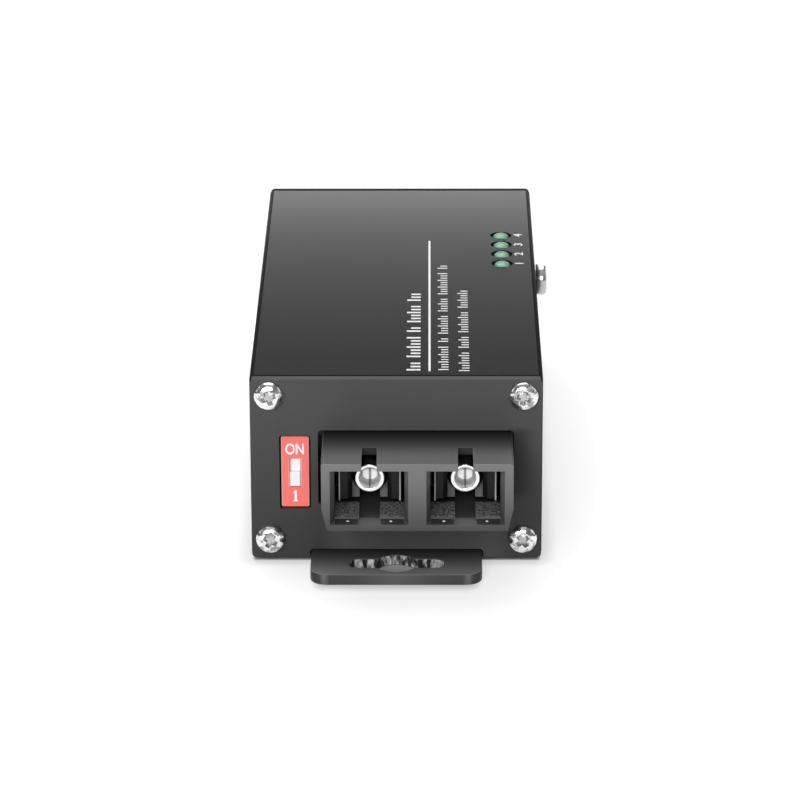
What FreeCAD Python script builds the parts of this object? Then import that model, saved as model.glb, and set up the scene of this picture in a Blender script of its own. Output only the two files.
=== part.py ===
"""Fibre media converter: an extruded case with a duplex fibre port in front and a copper port behind.

Millimetres, +Z up. The front panel faces -Y. The origin is the centre of the mounting bar's
underside, which is the face that the converter stands on.
"""

import FreeCAD, Part
import math
import os

V = FreeCAD.Vector
X_AXIS, Y_AXIS, Z_AXIS = V(1, 0, 0), V(0, 1, 0), V(0, 0, 1)

# ---------------------------------------------------------------- driving dimensions

# case
case_width = 39.2
case_height = 25.9
case_length = 81.6            # over both end panels
case_lift = 0.4               # the bar stands this far below the case
case_wall = 1.5
case_corner = 0.6
panel_thickness = 1.2
panel_inset = 0.08            # the panels are this much smaller than the case all round

# screws that hold the end panels
panel_screw_inset = 2.6       # from the case's sides
panel_screw_foot = 2.85       # lower screws above the case's underside
panel_screw_below_top = 2.45  # upper screws below the case's top
panel_screw_radius = 1.0
panel_screw_length = 7.0
panel_screw_head_radius = 1.95
panel_screw_head_height = 1.1
screw_boss_radius = 1.9
screw_head_edge = 0.25        # slope round the head's top
hidden_sides = 12             # hidden threads, pegs and their holes are plain prisms
can_sides = 24                # so are the round cans inside the case
screw_fit = 0.03              # round a screw's thread
screw_hole_clearance = 0.2    # round a screw where it passes through a sheet

# mounting bar
bar_width = 23.0
bar_thickness = 1.5
bar_overhang = 8.3
bar_corner = 2.2
bar_fit = 0.2
bar_screw_reach = 26.0
bar_screw_radius = 1.25
bar_screw_length = 4.2
bar_screw_head_radius = 2.3
keyhole_reach = 4.4           # keyhole's centre in front of the panel
keyhole_radius = 2.85
keyhole_slot_length = 13.0
keyhole_slot_width = 3.0
floor_over_bar = 1.3
screw_rib_width = 7.0
screw_rib_height = 1.8

# ground screw on the right side
ground_y = 36.0
ground_above_base = 12.95
ground_screw_radius = 1.25
ground_screw_length = 5.0
ground_head_radius = 2.35
ground_head_height = 1.6
ground_washer_thickness = 0.5
ground_flat_radius = 2.45
ground_lock_radius = 2.2
ground_lock_split = 0.35

# main board, held in grooves in the side walls
board_above_base = 7.3        # the board's upper face above the case's underside
board_thickness = 1.6
board_end_gap = 0.4
board_edge_gap = 0.15
groove_depth = 1.0
groove_rib = 1.0
groove_fit = 0.05
pin_fit = 0.08
pin_tail = 1.2
pin_head = 0.5

# duplex fibre port
port_x = 2.85
port_width = 25.3
port_above_base = 8.86
port_height = 9.52
port_reach = 11.76            # in front of the panel
port_chamfer_in = 0.75
port_chamfer_up = 3.1
port_corner = 0.35
port_gap_left = 0.7
port_gap_right = 0.2
port_gap_top = 0.12
port_gap_bottom = 1.1
port_window_corner = 0.5
socket_pitch = 12.7
socket_mouth_width = 10.3
socket_inner_width = 9.3
socket_lead_in = 2.2
socket_height = 7.6
socket_floor = 0.85           # the floor's thickness under the sockets
socket_depth = 13.7
socket_back = 1.3
socket_axis_above_floor = 3.85
keyway_width = 2.0
keyway_length = 5.95
floor_pad_height = 0.3
floor_pad_start = 2.2
floor_pad_length = 5.2
floor_rib_width = 2.7         # smooth strip between the two pads
housing_foot_width = 3.0

# optical parts on each socket's axis
barrel_setback = 6.95         # barrel rim behind the port's face
barrel_radius = 1.95
barrel_rim_bore = 1.44
barrel_rim_length = 0.6
barrel_flange_radius = 3.0
barrel_flange = 0.9
barrel_fit = 0.05
sleeve_radius = 1.6
sleeve_bore = 1.25
sleeve_length = 6.8
sleeve_slit = 0.3
sleeve_fit = 0.02
stub_length = 3.6
optical_can_radius = 2.8
optical_can_length = 5.5
can_lead_circle = 1.27
can_lead_half = 0.2
can_lead_length = 4.0
latch_plate_width = 8.8
latch_plate_height = 6.6
latch_plate = 1.2
latch_arm_inner = 2.9         # arm's inner face from the axis
latch_arm_thickness = 1.1
latch_arm_height = 5.2
latch_arm_length = 6.4
latch_hook = 0.55
latch_hook_length = 1.6

# rear part of the optical module
module_length = 38.9          # from the port's face to the cover's back
cover_wall = 0.8
module_board_thickness = 1.0
module_board_gap = 1.2
module_pin_count = 9
module_pin_pitch = 2.54
module_pin_half = 0.25
module_pin_inset = 2.4

# one-way slide switch block beside the port
dip_x = -13.58
dip_width = 3.78
dip_height = 10.24
dip_depth = 6.0
dip_setback = 0.4
dip_corner = 0.3
dip_window_gap = 0.2
dip_slot_width = 1.5
dip_slot_height = 4.0
dip_slot_foot = 3.0           # the slot's lower end above the board
dip_slot_depth = 1.7
slider_height = 2.05
slider_fit = 0.05
slider_proud = 0.2            # the slider stands this far in front of its block
dip_pin_spacing = 2.54
dip_pin_half = 0.25

# four lamps in the top
lamp_count = 4
lamp_x = 14.9
lamp_first_y = 5.8
lamp_pitch = 4.17
lamp_hole_radius = 1.55
lamp_radius = 1.3
lamp_dome_height = 1.0
lamp_collar_radius = 1.6
lamp_collar_height = 0.9
lamp_height = 5.9
lamp_below_top = 0.12
lamp_lead_half = 0.22
lamp_lead_spacing = 1.6
lamp_block_width = 3.6
lamp_block_margin = 1.9

# copper port at the rear
jack_x = 3.9
jack_width = 16.0
jack_height = 13.4
jack_depth = 21.3
jack_stand_out = 0.4
jack_gap = 0.15
shield_thickness = 0.25
jack_cavity_width = 11.8
jack_cavity_height = 7.4
jack_cavity_depth = 13.5
jack_cavity_foot = 3.0
jack_latch_width = 6.2
jack_latch_height = 1.8
jack_contact_count = 8
jack_contact_pitch = 1.02
jack_contact_width = 0.35
jack_contact_reach = 7.0
jack_contact_drop = 2.8
jack_peg_radius = 1.55
jack_peg_across = 11.4
jack_peg_inset = 10.0

# power terminal at the rear
terminal_x = -10.2
terminal_pitch = 3.81
header_width = 9.4
header_height = 7.5
header_depth = 9.2
header_wall = 0.9
header_back_wall = 1.2
header_stand_out = 0.4
header_gap = 0.15
header_pin_half = 0.5
header_pin_reach = 5.4
header_pin_above_board = 3.9
plug_fit = 0.12
plug_body_width = 8.6
plug_body_height = 10.4
plug_body_depth = 7.0
plug_foot = 0.3               # plug's underside above the board
plug_pin_clearance = 0.1
cage_width = 2.8
cage_depth = 3.4
cage_height = 3.2
cage_wall = 0.5
cage_fit = 0.1
cage_setback = 1.4            # cage behind the plug's wire face
cage_travel = 1.5
clamp_head_radius = 1.3
clamp_head_height = 0.9
clamp_head_recess = 1.0
clamp_shank_radius = 0.75
clamp_fit = 0.06
clamp_slot_width = 0.4
clamp_slot_depth = 0.45

# parts on the main board: centre x, centre y, width, length, height
chip_place, chip_side, chip_height = (-1.0, -3.5), 14.0, 1.4
chip_leads_per_side, chip_lead_pitch, chip_lead_width, chip_lead_reach = 6, 2.0, 0.6, 1.0
magnetics_place, magnetics_size = (4.0, 13.0), (12.7, 7.0, 6.0)
crystal_place, crystal_size = (-12.5, -9.0), (4.5, 10.5, 3.5)
inductor_place, inductor_side, inductor_height, inductor_corner = (-12.0, 21.5), 6.6, 3.2, 1.4
capacitor_places = ((-12.2, 3.5), (-12.2, 11.5))
capacitor_radius, capacitor_height, capacitor_foot = 3.15, 7.0, 0.7
regulator_place, regulator_size = (-4.8, 13.0), (3.6, 6.4, 1.7)
memory_place, memory_size = (10.8, -5.0), (4.0, 5.0, 1.6)

# ---------------------------------------------------------------- places worked out from them

base = case_lift
top = base + case_height
half_width = case_width / 2
inner_half = half_width - case_wall
front = -case_length / 2
rear = case_length / 2
front_inner = front + panel_thickness
rear_inner = rear - panel_thickness
bar_end = rear + bar_overhang
floor_top = base + case_wall
bar_floor_top = bar_thickness + floor_over_bar
channel_half = bar_width / 2 + bar_fit

board_top = base + board_above_base
board_bottom = board_top - board_thickness
board_front = front_inner + board_end_gap
board_rear = rear_inner - board_end_gap
pin_foot = board_bottom - pin_tail

port_face = front - port_reach
port_left = port_x - port_width / 2
port_right = port_x + port_width / 2
port_bottom = base + port_above_base
port_top = port_bottom + port_height
socket_bottom = port_bottom + socket_floor
socket_axis_z = socket_bottom + socket_axis_above_floor
socket_end = port_face + socket_depth
housing_end = socket_end + socket_back
module_end = port_face + module_length
socket_axes = {"left": port_x - socket_pitch / 2, "right": port_x + socket_pitch / 2}
module_board_top = socket_axis_z - can_lead_circle - can_lead_half

panel_screw_places = [
    (side * (half_width - panel_screw_inset), z)
    for side in (-1, 1)
    for z in (base + panel_screw_foot, top - panel_screw_below_top)
]
lamp_places = [lamp_first_y + lamp_pitch * i for i in range(lamp_count)]
lamp_apex = top - lamp_below_top
lamp_foot = lamp_apex - lamp_height
module_pin_places = [
    port_x + module_pin_pitch * (i - (module_pin_count - 1) / 2) for i in range(module_pin_count)
]
module_pin_y = module_end - module_pin_inset
dip_pin_places = [front_inner + board_end_gap + 1.0 + dip_pin_spacing * i for i in range(2)]
way_places = {"left": terminal_x - terminal_pitch / 2, "right": terminal_x + terminal_pitch / 2}
header_back = rear + header_stand_out - header_depth
header_face = rear + header_stand_out
header_pin_z = board_top + header_pin_above_board
header_leg_y = header_back - 2 * header_pin_half
plug_face = header_face + plug_body_depth + plug_fit
plug_top = board_top + plug_foot + plug_body_height
cage_floor = board_top + plug_foot + 0.9
cage_y = plug_face - cage_setback - cage_depth / 2


# ---------------------------------------------------------------- shapes that many pieces use

def block(x, y, z):
    """Box between two values on each axis."""
    return Part.makeBox(x[1] - x[0], y[1] - y[0], z[1] - z[0], V(x[0], y[0], z[0]))


def about(centre, size):
    """The two ends of a span of this size about its centre."""
    return centre - size / 2, centre + size / 2


def rod(radius, start, end):
    """Cylinder from one point to another."""
    run = V(*end) - V(*start)
    return Part.makeCylinder(radius, run.Length, V(*start), run)


def polygon_rod(radius, start, end, sides=hidden_sides):
    """Prism from one point to another on a regular polygon whose corners lie on a circle."""
    run = V(*end) - V(*start)
    corners = []
    for i in range(sides):
        angle = 2 * math.pi * (i + 0.5) / sides
        corners.append((radius * math.cos(angle), radius * math.sin(angle), 0))
    return stood(prism(corners, V(0, 0, run.Length)), start, run)


def edges_along(shape, axis):
    """Straight edges that run along one axis."""
    return [
        edge for edge in shape.Edges
        if isinstance(edge.Curve, Part.Line) and abs(edge.Curve.Direction.dot(axis)) > 0.999
    ]


def square_pin(place, half, z):
    """Upright square pin, or the square hole for one, between two heights."""
    x, y = place
    return block((x - half, x + half), (y - half, y + half), z)


def rounded_block(x, y, z, radius, axis):
    """Box whose four edges along one axis are rounded."""
    shape = block(x, y, z)
    return shape.makeFillet(radius, edges_along(shape, axis))


def rim_edges(shape, axis, height):
    """Edges that lie wholly in the plane at this height along an axis."""
    found = []
    for edge in shape.Edges:
        heights = [vertex.Point.dot(axis) for vertex in edge.Vertexes]
        middle = edge.valueAt((edge.FirstParameter + edge.LastParameter) / 2).dot(axis)
        if all(abs(h - height) < 1e-6 for h in heights + [middle]):
            found.append(edge)
    return found


def prism(points, run):
    """Solid swept along a straight run from a flat outline of corner points."""
    corners = [V(*point) for point in points]
    return Part.Face(Part.makePolygon(corners + corners[:1])).extrude(run)


def turned(profile, foot, axis):
    """Solid of revolution from (radius, height) corners, standing on a foot along an axis."""
    corners = [V(radius, 0, height) for radius, height in profile]
    face = Part.Face(Part.makePolygon(corners + corners[:1]))
    solid = face.revolve(V(0, 0, 0), Z_AXIS, 360)
    return stood(solid, foot, axis)


def stood(shape, foot, axis):
    """A shape made upright at the origin, stood at a foot and pointed along an axis."""
    shape.Placement = FreeCAD.Placement(V(*foot), FreeCAD.Rotation(Z_AXIS, axis))
    return shape


def joined(shapes):
    """One solid from shapes that meet."""
    shapes = list(shapes)
    return shapes[0].multiFuse(shapes[1:]).removeSplitter()


def without(shape, cutters):
    """The shape less every cutter."""
    return shape.cut(list(cutters))


def group(shapes):
    """Separate solids kept together."""
    return Part.makeCompound(list(shapes))


# ---------------------------------------------------------------- screws

def cross_recess(radius, depth):
    """Two crossing tapered blades that cut a screwdriver recess downwards from height 0."""
    width = radius * 0.42
    blade = prism(
        [(-radius, 0, 0.1), (radius, 0, 0.1), (radius * 0.45, 0, -depth), (-radius * 0.45, 0, -depth)],
        V(0, width, 0),
    )
    blade.translate(V(0, -width / 2, 0))
    other = blade.copy()
    other.rotate(V(0, 0, 0), Z_AXIS, 90)
    return joined([blade, other])


def pan_screw(head_radius, head_height, radius, length):
    """Pan-head screw standing on its seat: head above height 0, shank below."""
    head = turned(
        [(0, 0), (head_radius, 0), (head_radius, head_height - screw_head_edge),
         (head_radius - screw_head_edge, head_height), (0, head_height)],
        (0, 0, 0), Z_AXIS)
    body = joined([head, polygon_rod(radius, (0, 0, -length), (0, 0, 0))])
    recess = cross_recess(head_radius * 0.62, head_height * 0.7)
    recess.translate(V(0, 0, head_height))
    return body.cut(recess)


def countersunk_screw(head_radius, radius, length):
    """Countersunk screw: its flat head's face is at height 0 and its shank points down."""
    cone = head_radius - radius
    head = turned([(0, 0), (head_radius, 0), (radius, -cone), (0, -cone)], (0, 0, 0), Z_AXIS)
    body = joined([head, polygon_rod(radius, (0, 0, -length), (0, 0, -cone))])
    return body.cut(cross_recess(head_radius * 0.6, cone * 0.8))


def panel_screws(face, outward):
    """The four screws of one end panel."""
    return group(
        stood(
            pan_screw(panel_screw_head_radius, panel_screw_head_height,
                      panel_screw_radius, panel_screw_length),
            (x, face, z), outward,
        )
        for x, z in panel_screw_places
    )


def bar_screws():
    """Two countersunk screws that hold the mounting bar, heads down."""
    return group(
        stood(countersunk_screw(bar_screw_head_radius, bar_screw_radius, bar_screw_length),
              (0, side * bar_screw_reach, 0), V(0, 0, -1))
        for side in (-1, 1)
    )


def ground_z():
    """Height of the ground screw."""
    return base + ground_above_base


def ground_flat_washer():
    """Flat washer against the case."""
    ring = rod(ground_flat_radius, (half_width, ground_y, ground_z()),
               (half_width + ground_washer_thickness, ground_y, ground_z()))
    return ring.cut(ground_bore())


def ground_lock_washer():
    """Split spring washer under the screw's head."""
    inner = half_width + ground_washer_thickness
    outer = inner + ground_washer_thickness
    ring = rod(ground_lock_radius, (inner, ground_y, ground_z()), (outer, ground_y, ground_z()))
    split = block((inner, outer), about(ground_y, ground_lock_split),
                  (ground_z() - 2 * ground_lock_radius, ground_z()))
    return without(ring, [ground_bore(), split])


def ground_bore():
    """Hole through the washers."""
    return rod(ground_screw_radius + screw_fit, (inner_half, ground_y, ground_z()),
               (half_width + 3 * ground_washer_thickness, ground_y, ground_z()))


def ground_screw():
    """Pan-head screw on the right side for the earth wire."""
    seat = half_width + 2 * ground_washer_thickness
    return stood(
        pan_screw(ground_head_radius, ground_head_height, ground_screw_radius, ground_screw_length),
        (seat, ground_y, ground_z()), X_AXIS,
    )


# ---------------------------------------------------------------- case

def case_extrusion():
    """Aluminium tube with screw bosses, board grooves and a channel for the bar."""
    along = (front_inner, rear_inner)
    shell = rounded_block((-half_width, half_width), along, (base, top), case_corner, Y_AXIS)
    shell = shell.cut(block((-inner_half, inner_half), along, (floor_top, top - case_wall)))
    floor = block(about(0, 2 * (channel_half + case_wall)), along, (floor_top, bar_floor_top))
    rib = block(about(0, screw_rib_width), along, (bar_floor_top, bar_floor_top + screw_rib_height))
    bosses = [
        polygon_rod(screw_boss_radius, (x, front_inner, z), (x, rear_inner, z))
        for x, z in panel_screw_places
    ]
    tube = joined([shell, floor, rib] + bosses + groove_ribs(along))
    return without(tube, case_cuts(along))


def groove_ribs(along):
    """Ribs above and below the board along both side walls."""
    ribs = []
    for z in (board_bottom - groove_fit - groove_rib, board_top + groove_fit):
        for side in (-1, 1):
            edges = sorted((side * inner_half, side * (inner_half - groove_depth)))
            ribs.append(block(edges, along, (z, z + groove_rib)))
    return ribs


def case_cuts(along):
    """Channel, screw holes and lamp holes of the case."""
    cuts = [block((-channel_half, channel_half), along, (base - 1, bar_thickness))]
    for x, z in panel_screw_places:
        for start, end in ((front_inner, front_inner + panel_screw_length),
                           (rear_inner - panel_screw_length, rear_inner)):
            cuts.append(polygon_rod(panel_screw_radius + screw_fit, (x, start, z), (x, end, z)))
    for side in (-1, 1):
        y = side * bar_screw_reach
        cuts.append(polygon_rod(bar_screw_radius + screw_fit, (0, y, 0), (0, y, bar_screw_length + 0.2)))
    slot_half = lamp_collar_radius + screw_hole_clearance
    cuts.append(block(about(lamp_x, 2 * slot_half),
                      (lamp_places[0] - slot_half, lamp_places[-1] + slot_half),
                      (top - panel_screw_below_top - screw_boss_radius - 1, top - case_wall)))
    for y in lamp_places:
        cuts.append(rod(lamp_hole_radius, (lamp_x, y, top - case_wall - 0.1), (lamp_x, y, top + 1)))
    cuts.append(polygon_rod(ground_screw_radius + screw_fit, (inner_half - 1, ground_y, ground_z()),
                            (half_width + 1, ground_y, ground_z())))
    return cuts


def end_panel(inner, outer):
    """Plain end panel: screw holes and the notch that the bar passes through."""
    x = (-half_width + panel_inset, half_width - panel_inset)
    z = (base + panel_inset, top - panel_inset)
    plate = rounded_block(x, sorted((inner, outer)), z, case_corner, Y_AXIS)
    holes = [
        polygon_rod(panel_screw_radius + screw_hole_clearance, (px, inner, pz), (px, outer, pz))
        for px, pz in panel_screw_places
    ]
    notch = rounded_block((-channel_half, channel_half), sorted((inner, outer)),
                          (base - 2, bar_thickness + bar_fit), 0.5, Y_AXIS)
    return without(plate, holes + [notch])


def front_panel():
    """Front panel with the windows of the fibre port and the switch."""
    through = (front - 1, front_inner + 1)
    port = rounded_block((port_left - port_gap_left, port_right + port_gap_right), through,
                         (port_bottom - port_gap_bottom, port_top + port_gap_top),
                         port_window_corner, Y_AXIS)
    switch = rounded_block(about(dip_x, dip_width + 2 * dip_window_gap), through,
                           (board_top - dip_window_gap, board_top + dip_height + dip_window_gap),
                           dip_corner, Y_AXIS)
    return without(end_panel(front_inner, front), [port, switch])


def rear_panel():
    """Rear panel with the windows of the copper port and the power terminal."""
    through = (rear_inner - 1, rear + 1)
    jack = block(about(jack_x, jack_width + 2 * jack_gap), through,
                 (board_top - jack_gap, board_top + jack_height + jack_gap))
    terminal = block(about(terminal_x, header_width + 2 * header_gap), through,
                     (board_top - header_gap, board_top + header_height + header_gap))
    return without(end_panel(rear_inner, rear), [jack, terminal])


def mounting_bar():
    """Flat steel bar under the case with a keyhole at each end."""
    bar = rounded_block(about(0, bar_width), (-bar_end, bar_end), (0, bar_thickness),
                        bar_corner, Z_AXIS)
    cuts = []
    for side in (-1, 1):
        y = side * (rear + keyhole_reach)
        cuts.append(rod(keyhole_radius, (0, y, -1), (0, y, bar_thickness + 1)))
        cuts.append(rounded_block(about(0, keyhole_slot_length), about(y, keyhole_slot_width),
                                  (-1, bar_thickness + 1), keyhole_slot_width / 2 - 0.01, Z_AXIS))
        cone = bar_screw_head_radius - bar_screw_radius
        cuts.append(turned(
            [(0, 0), (bar_screw_head_radius + bar_fit, 0),
             (bar_screw_radius + bar_fit, cone), (bar_screw_radius + bar_fit, bar_thickness + 1),
             (0, bar_thickness + 1)],
            (0, side * bar_screw_reach, 0), Z_AXIS))
    return without(bar, cuts)


# ---------------------------------------------------------------- main board

def main_board():
    """Circuit board in the case's grooves, drilled for what stands on it."""
    board = block(about(0, 2 * (inner_half - board_edge_gap)), (board_front, board_rear),
                  (board_bottom, board_top))
    through = (board_bottom, board_top)
    pins = [((x, module_pin_y), module_pin_half) for x in module_pin_places]
    pins += [((dip_x, y), dip_pin_half) for y in dip_pin_places]
    pins += [(place, lamp_lead_half) for place in lamp_lead_places()]
    pins += [((x, header_leg_y), header_pin_half) for x in way_places.values()]
    holes = [square_pin(place, half + pin_fit, through) for place, half in pins]
    peg_y = rear + jack_stand_out - jack_peg_inset
    holes += [polygon_rod(jack_peg_radius + pin_fit, (x, peg_y, board_bottom), (x, peg_y, board_top))
              for x in about(jack_x, jack_peg_across)]
    return without(board, holes)


def on_board(place, size):
    """Plain component body standing on the board."""
    x, y = place
    return block(about(x, size[0]), about(y, size[1]), (board_top, board_top + size[2]))


def converter_chip():
    """Square controller with leads on four sides."""
    x, y = chip_place
    body = on_board(chip_place, (chip_side, chip_side, chip_height))
    leads = []
    for i in range(chip_leads_per_side):
        offset = chip_lead_pitch * (i - (chip_leads_per_side - 1) / 2)
        across, reach = about(offset, chip_lead_width), chip_side / 2 + chip_lead_reach
        z = (board_top, board_top + chip_height * 0.3)
        leads.append(block((x - reach, x + reach), (y + across[0], y + across[1]), z))
        leads.append(block((x + across[0], x + across[1]), (y - reach, y + reach), z))
    return joined([body] + leads)


def power_inductor():
    """Shielded inductor with cut corners."""
    x, y = inductor_place
    body = on_board(inductor_place, (inductor_side, inductor_side, inductor_height))
    return body.makeChamfer(inductor_corner, edges_along(body, Z_AXIS))


def capacitor(place):
    """Aluminium can on its square foot."""
    x, y = place
    foot = on_board(place, (2 * capacitor_radius, 2 * capacitor_radius, capacitor_foot))
    can = polygon_rod(capacitor_radius, (x, y, board_top),
                      (x, y, board_top + capacitor_foot + capacitor_height), can_sides)
    return joined([foot, can])


# ---------------------------------------------------------------- fibre port

def port_housing():
    """Black moulding with the two plug sockets, its rear standing on the board."""
    outline = [
        (port_left + port_chamfer_in, port_face, port_bottom),
        (port_right - port_chamfer_in, port_face, port_bottom),
        (port_right, port_face, port_bottom + port_chamfer_up),
        (port_right, port_face, port_top),
        (port_left, port_face, port_top),
        (port_left, port_face, port_bottom + port_chamfer_up),
    ]
    body = prism(outline, V(0, housing_end - port_face, 0))
    upper = [e for e in edges_along(body, Y_AXIS) if e.Vertexes[0].Z > port_top - 0.01]
    body = body.makeFillet(port_corner, upper)
    feet = [
        block(about(x, housing_foot_width), (board_front, housing_end), (board_top, port_bottom + 0.2))
        for x in (port_left + 3.0, port_x, port_right - 3.0)
    ]
    body = joined([body] + feet)
    pads = []
    for x in socket_axes.values():
        body = without(body, socket_cuts(x))
        pads += floor_pads(x)
    return joined([body] + pads)


def socket_cuts(x):
    """What one plug socket takes out of the housing."""
    mouth, inner = socket_mouth_width / 2, socket_inner_width / 2
    z = socket_bottom
    plan = [
        (x - mouth, port_face, z), (x + mouth, port_face, z),
        (x + inner, port_face + socket_lead_in, z), (x + inner, socket_end, z),
        (x - inner, socket_end, z), (x - inner, port_face + socket_lead_in, z),
    ]
    cavity = prism(plan, V(0, 0, socket_height))
    keyway = block(about(x, keyway_width), (port_face - 1, port_face + keyway_length),
                   (socket_bottom + socket_height - 1, port_top + 1))
    bore = rod(barrel_radius + barrel_fit, (x, socket_end - 1, socket_axis_z),
               (x, housing_end + 1, socket_axis_z))
    return [cavity, keyway, bore]


def floor_pads(x):
    """Two raised pads on a socket's floor, either side of its smooth strip."""
    y = (port_face + floor_pad_start, port_face + floor_pad_start + floor_pad_length)
    z = (socket_bottom, socket_bottom + floor_pad_height)
    strip, edge = floor_rib_width / 2, socket_inner_width / 2
    return [block((x - edge, x - strip), y, z), block((x + strip, x + edge), y, z)]


def sleeve_barrel(x):
    """Turned metal barrel: open rim in front, flange behind the housing's wall."""
    length = housing_end + barrel_flange - (port_face + barrel_setback)
    wall_in = sleeve_radius + sleeve_fit
    profile = [
        (barrel_rim_bore, 0), (barrel_radius, 0), (barrel_radius, length), (wall_in, length),
        (wall_in, barrel_rim_length), (barrel_rim_bore, barrel_rim_length),
    ]
    tube = turned(profile, (0, 0, 0), Z_AXIS)
    nut = polygon_rod(barrel_flange_radius, (0, 0, length - barrel_flange), (0, 0, length), 6)
    bore = rod(wall_in, (0, 0, length - barrel_flange), (0, 0, length))
    return stood(joined([tube, nut.cut(bore)]), (x, port_face + barrel_setback, socket_axis_z), Y_AXIS)


def sleeve_start():
    """Front end of the split sleeve, just behind the barrel's rim."""
    return port_face + barrel_setback + barrel_rim_length + sleeve_fit


def split_sleeve(x):
    """Ceramic alignment sleeve with a slit along its underside."""
    start, end = sleeve_start(), sleeve_start() + sleeve_length
    tube = rod(sleeve_radius, (x, start, socket_axis_z), (x, end, socket_axis_z))
    bore = rod(sleeve_bore, (x, start, socket_axis_z), (x, end, socket_axis_z))
    slit = block(about(x, sleeve_slit), (start, end), (socket_axis_z - 2 * sleeve_radius, socket_axis_z))
    return without(tube, [bore, slit])


def fibre_stub(x):
    """Ceramic stub that closes the rear of the sleeve."""
    start, end = sleeve_start() + sleeve_length - stub_length, housing_end + barrel_flange
    return rod(sleeve_bore, (x, start, socket_axis_z), (x, end, socket_axis_z))


def latch_insert(x):
    """Plate round the barrel with two hooked arms that hold a plug."""
    y_back, y_plate = socket_end, socket_end - latch_plate
    plate = block(about(x, latch_plate_width), (y_plate, y_back),
                  about(socket_axis_z, latch_plate_height))
    arms = []
    for side in (-1, 1):
        inner = x + side * latch_arm_inner
        outer = inner + side * latch_arm_thickness
        tip = y_plate - latch_arm_length
        outline = [
            (outer, y_plate, 0), (outer, tip, 0), (inner, tip, 0),
            (inner - side * latch_hook, tip + latch_hook_length * 0.6, 0),
            (inner - side * latch_hook, tip + latch_hook_length, 0),
            (inner, tip + latch_hook_length, 0), (inner, y_plate, 0),
        ]
        arm = prism(outline, V(0, 0, latch_arm_height))
        arm.translate(V(0, 0, socket_axis_z - latch_arm_height / 2))
        arms.append(arm)
    bore = rod(barrel_radius + barrel_fit, (x, y_plate - 1, socket_axis_z),
               (x, y_back + 1, socket_axis_z))
    return joined([plate] + arms).cut(bore)


def optical_can(x):
    """Metal can behind a barrel, with the leads that lie on the module's board."""
    start = housing_end + barrel_flange
    end = start + optical_can_length
    can = polygon_rod(optical_can_radius, (x, start, socket_axis_z), (x, end, socket_axis_z), can_sides)
    leads = []
    for across, up in ((-can_lead_circle, 0), (0, -can_lead_circle), (can_lead_circle, 0)):
        leads.append(block(about(x + across, 2 * can_lead_half), (end - can_lead_half, end + can_lead_length),
                           about(socket_axis_z + up, 2 * can_lead_half)))
    return joined([can] + leads)


def module_cover():
    """Cap over the optical parts, open underneath and towards the port."""
    y = (housing_end, module_end)
    shell = rounded_block((port_left, port_right), y, (board_top, port_top), port_corner, Y_AXIS)
    hollow = block((port_left + cover_wall, port_right - cover_wall),
                   (housing_end - 1, module_end - cover_wall), (board_top - 1, port_top - cover_wall))
    return shell.cut(hollow)


def module_board():
    """Small board that carries the optical cans' leads, on the module's pins."""
    y = (housing_end + barrel_flange + optical_can_length + module_board_gap,
         module_end - cover_wall - 0.3)
    x = (port_left + cover_wall + 0.3, port_right - cover_wall - 0.3)
    board = block(x, y, (module_board_top - module_board_thickness, module_board_top))
    holes = [
        square_pin((px, module_pin_y), module_pin_half + pin_fit, (board_top, port_top))
        for px in module_pin_places
    ]
    return without(board, holes)


def module_pins():
    """Row of pins from the module's board down through the main board."""
    return group(
        square_pin((x, module_pin_y), module_pin_half, (pin_foot, module_board_top + pin_head))
        for x in module_pin_places
    )


# ---------------------------------------------------------------- switch

def dip_body():
    """Red switch block standing on the board behind its window."""
    y = (front + dip_setback, front + dip_setback + dip_depth)
    body = rounded_block(about(dip_x, dip_width), y, (board_top, board_top + dip_height),
                         dip_corner, Y_AXIS)
    slot_foot = board_top + dip_slot_foot
    slot = block(about(dip_x, dip_slot_width), (y[0] - 1, y[0] + dip_slot_depth),
                 (slot_foot, slot_foot + dip_slot_height))
    return body.cut(slot)


def dip_slider():
    """White slider at the lower end of its slot."""
    start = front + dip_setback
    foot = board_top + dip_slot_foot + slider_fit
    knob = block(about(dip_x, dip_slot_width - 2 * slider_fit),
                 (start - slider_proud, start + dip_slot_depth - slider_fit),
                 (foot, foot + slider_height))
    return knob.makeChamfer(0.12, rim_edges(knob, Y_AXIS, start - slider_proud))


def dip_pins():
    """The switch's two pins through the board."""
    return group(square_pin((dip_x, y), dip_pin_half, (pin_foot, board_top)) for y in dip_pin_places)


# ---------------------------------------------------------------- lamps

def lamp_lead_places():
    """Where the lamps' leads cross the board."""
    return [(lamp_x, y + side * lamp_lead_spacing / 2) for y in lamp_places for side in (-1, 1)]


def lamp(y):
    """Lamp on a square foot; its domed top lies just under the case's upper face."""
    foot = block(about(lamp_x, 2 * lamp_collar_radius), about(y, 2 * lamp_collar_radius),
                 (lamp_foot, lamp_foot + lamp_collar_height))
    bulb = turned(
        [(0, 0), (lamp_radius, 0), (lamp_radius, lamp_height - lamp_dome_height),
         (lamp_radius * 0.6, lamp_height), (0, lamp_height)],
        (lamp_x, y, lamp_foot), Z_AXIS)
    return joined([foot, bulb])


def lamp_block():
    """Black spacer that holds the lamps up to the case's top."""
    y = (lamp_places[0] - lamp_block_margin, lamp_places[-1] + lamp_block_margin)
    body = block(about(lamp_x, lamp_block_width), y, (board_top, lamp_foot))
    holes = [
        square_pin(place, lamp_lead_half + pin_fit, (board_top, lamp_foot))
        for place in lamp_lead_places()
    ]
    return without(body, holes)


def lamp_leads():
    """Leads from the lamps down through the spacer and the board."""
    return group(
        square_pin(place, lamp_lead_half, (pin_foot, lamp_foot)) for place in lamp_lead_places()
    )


# ---------------------------------------------------------------- copper port

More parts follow.
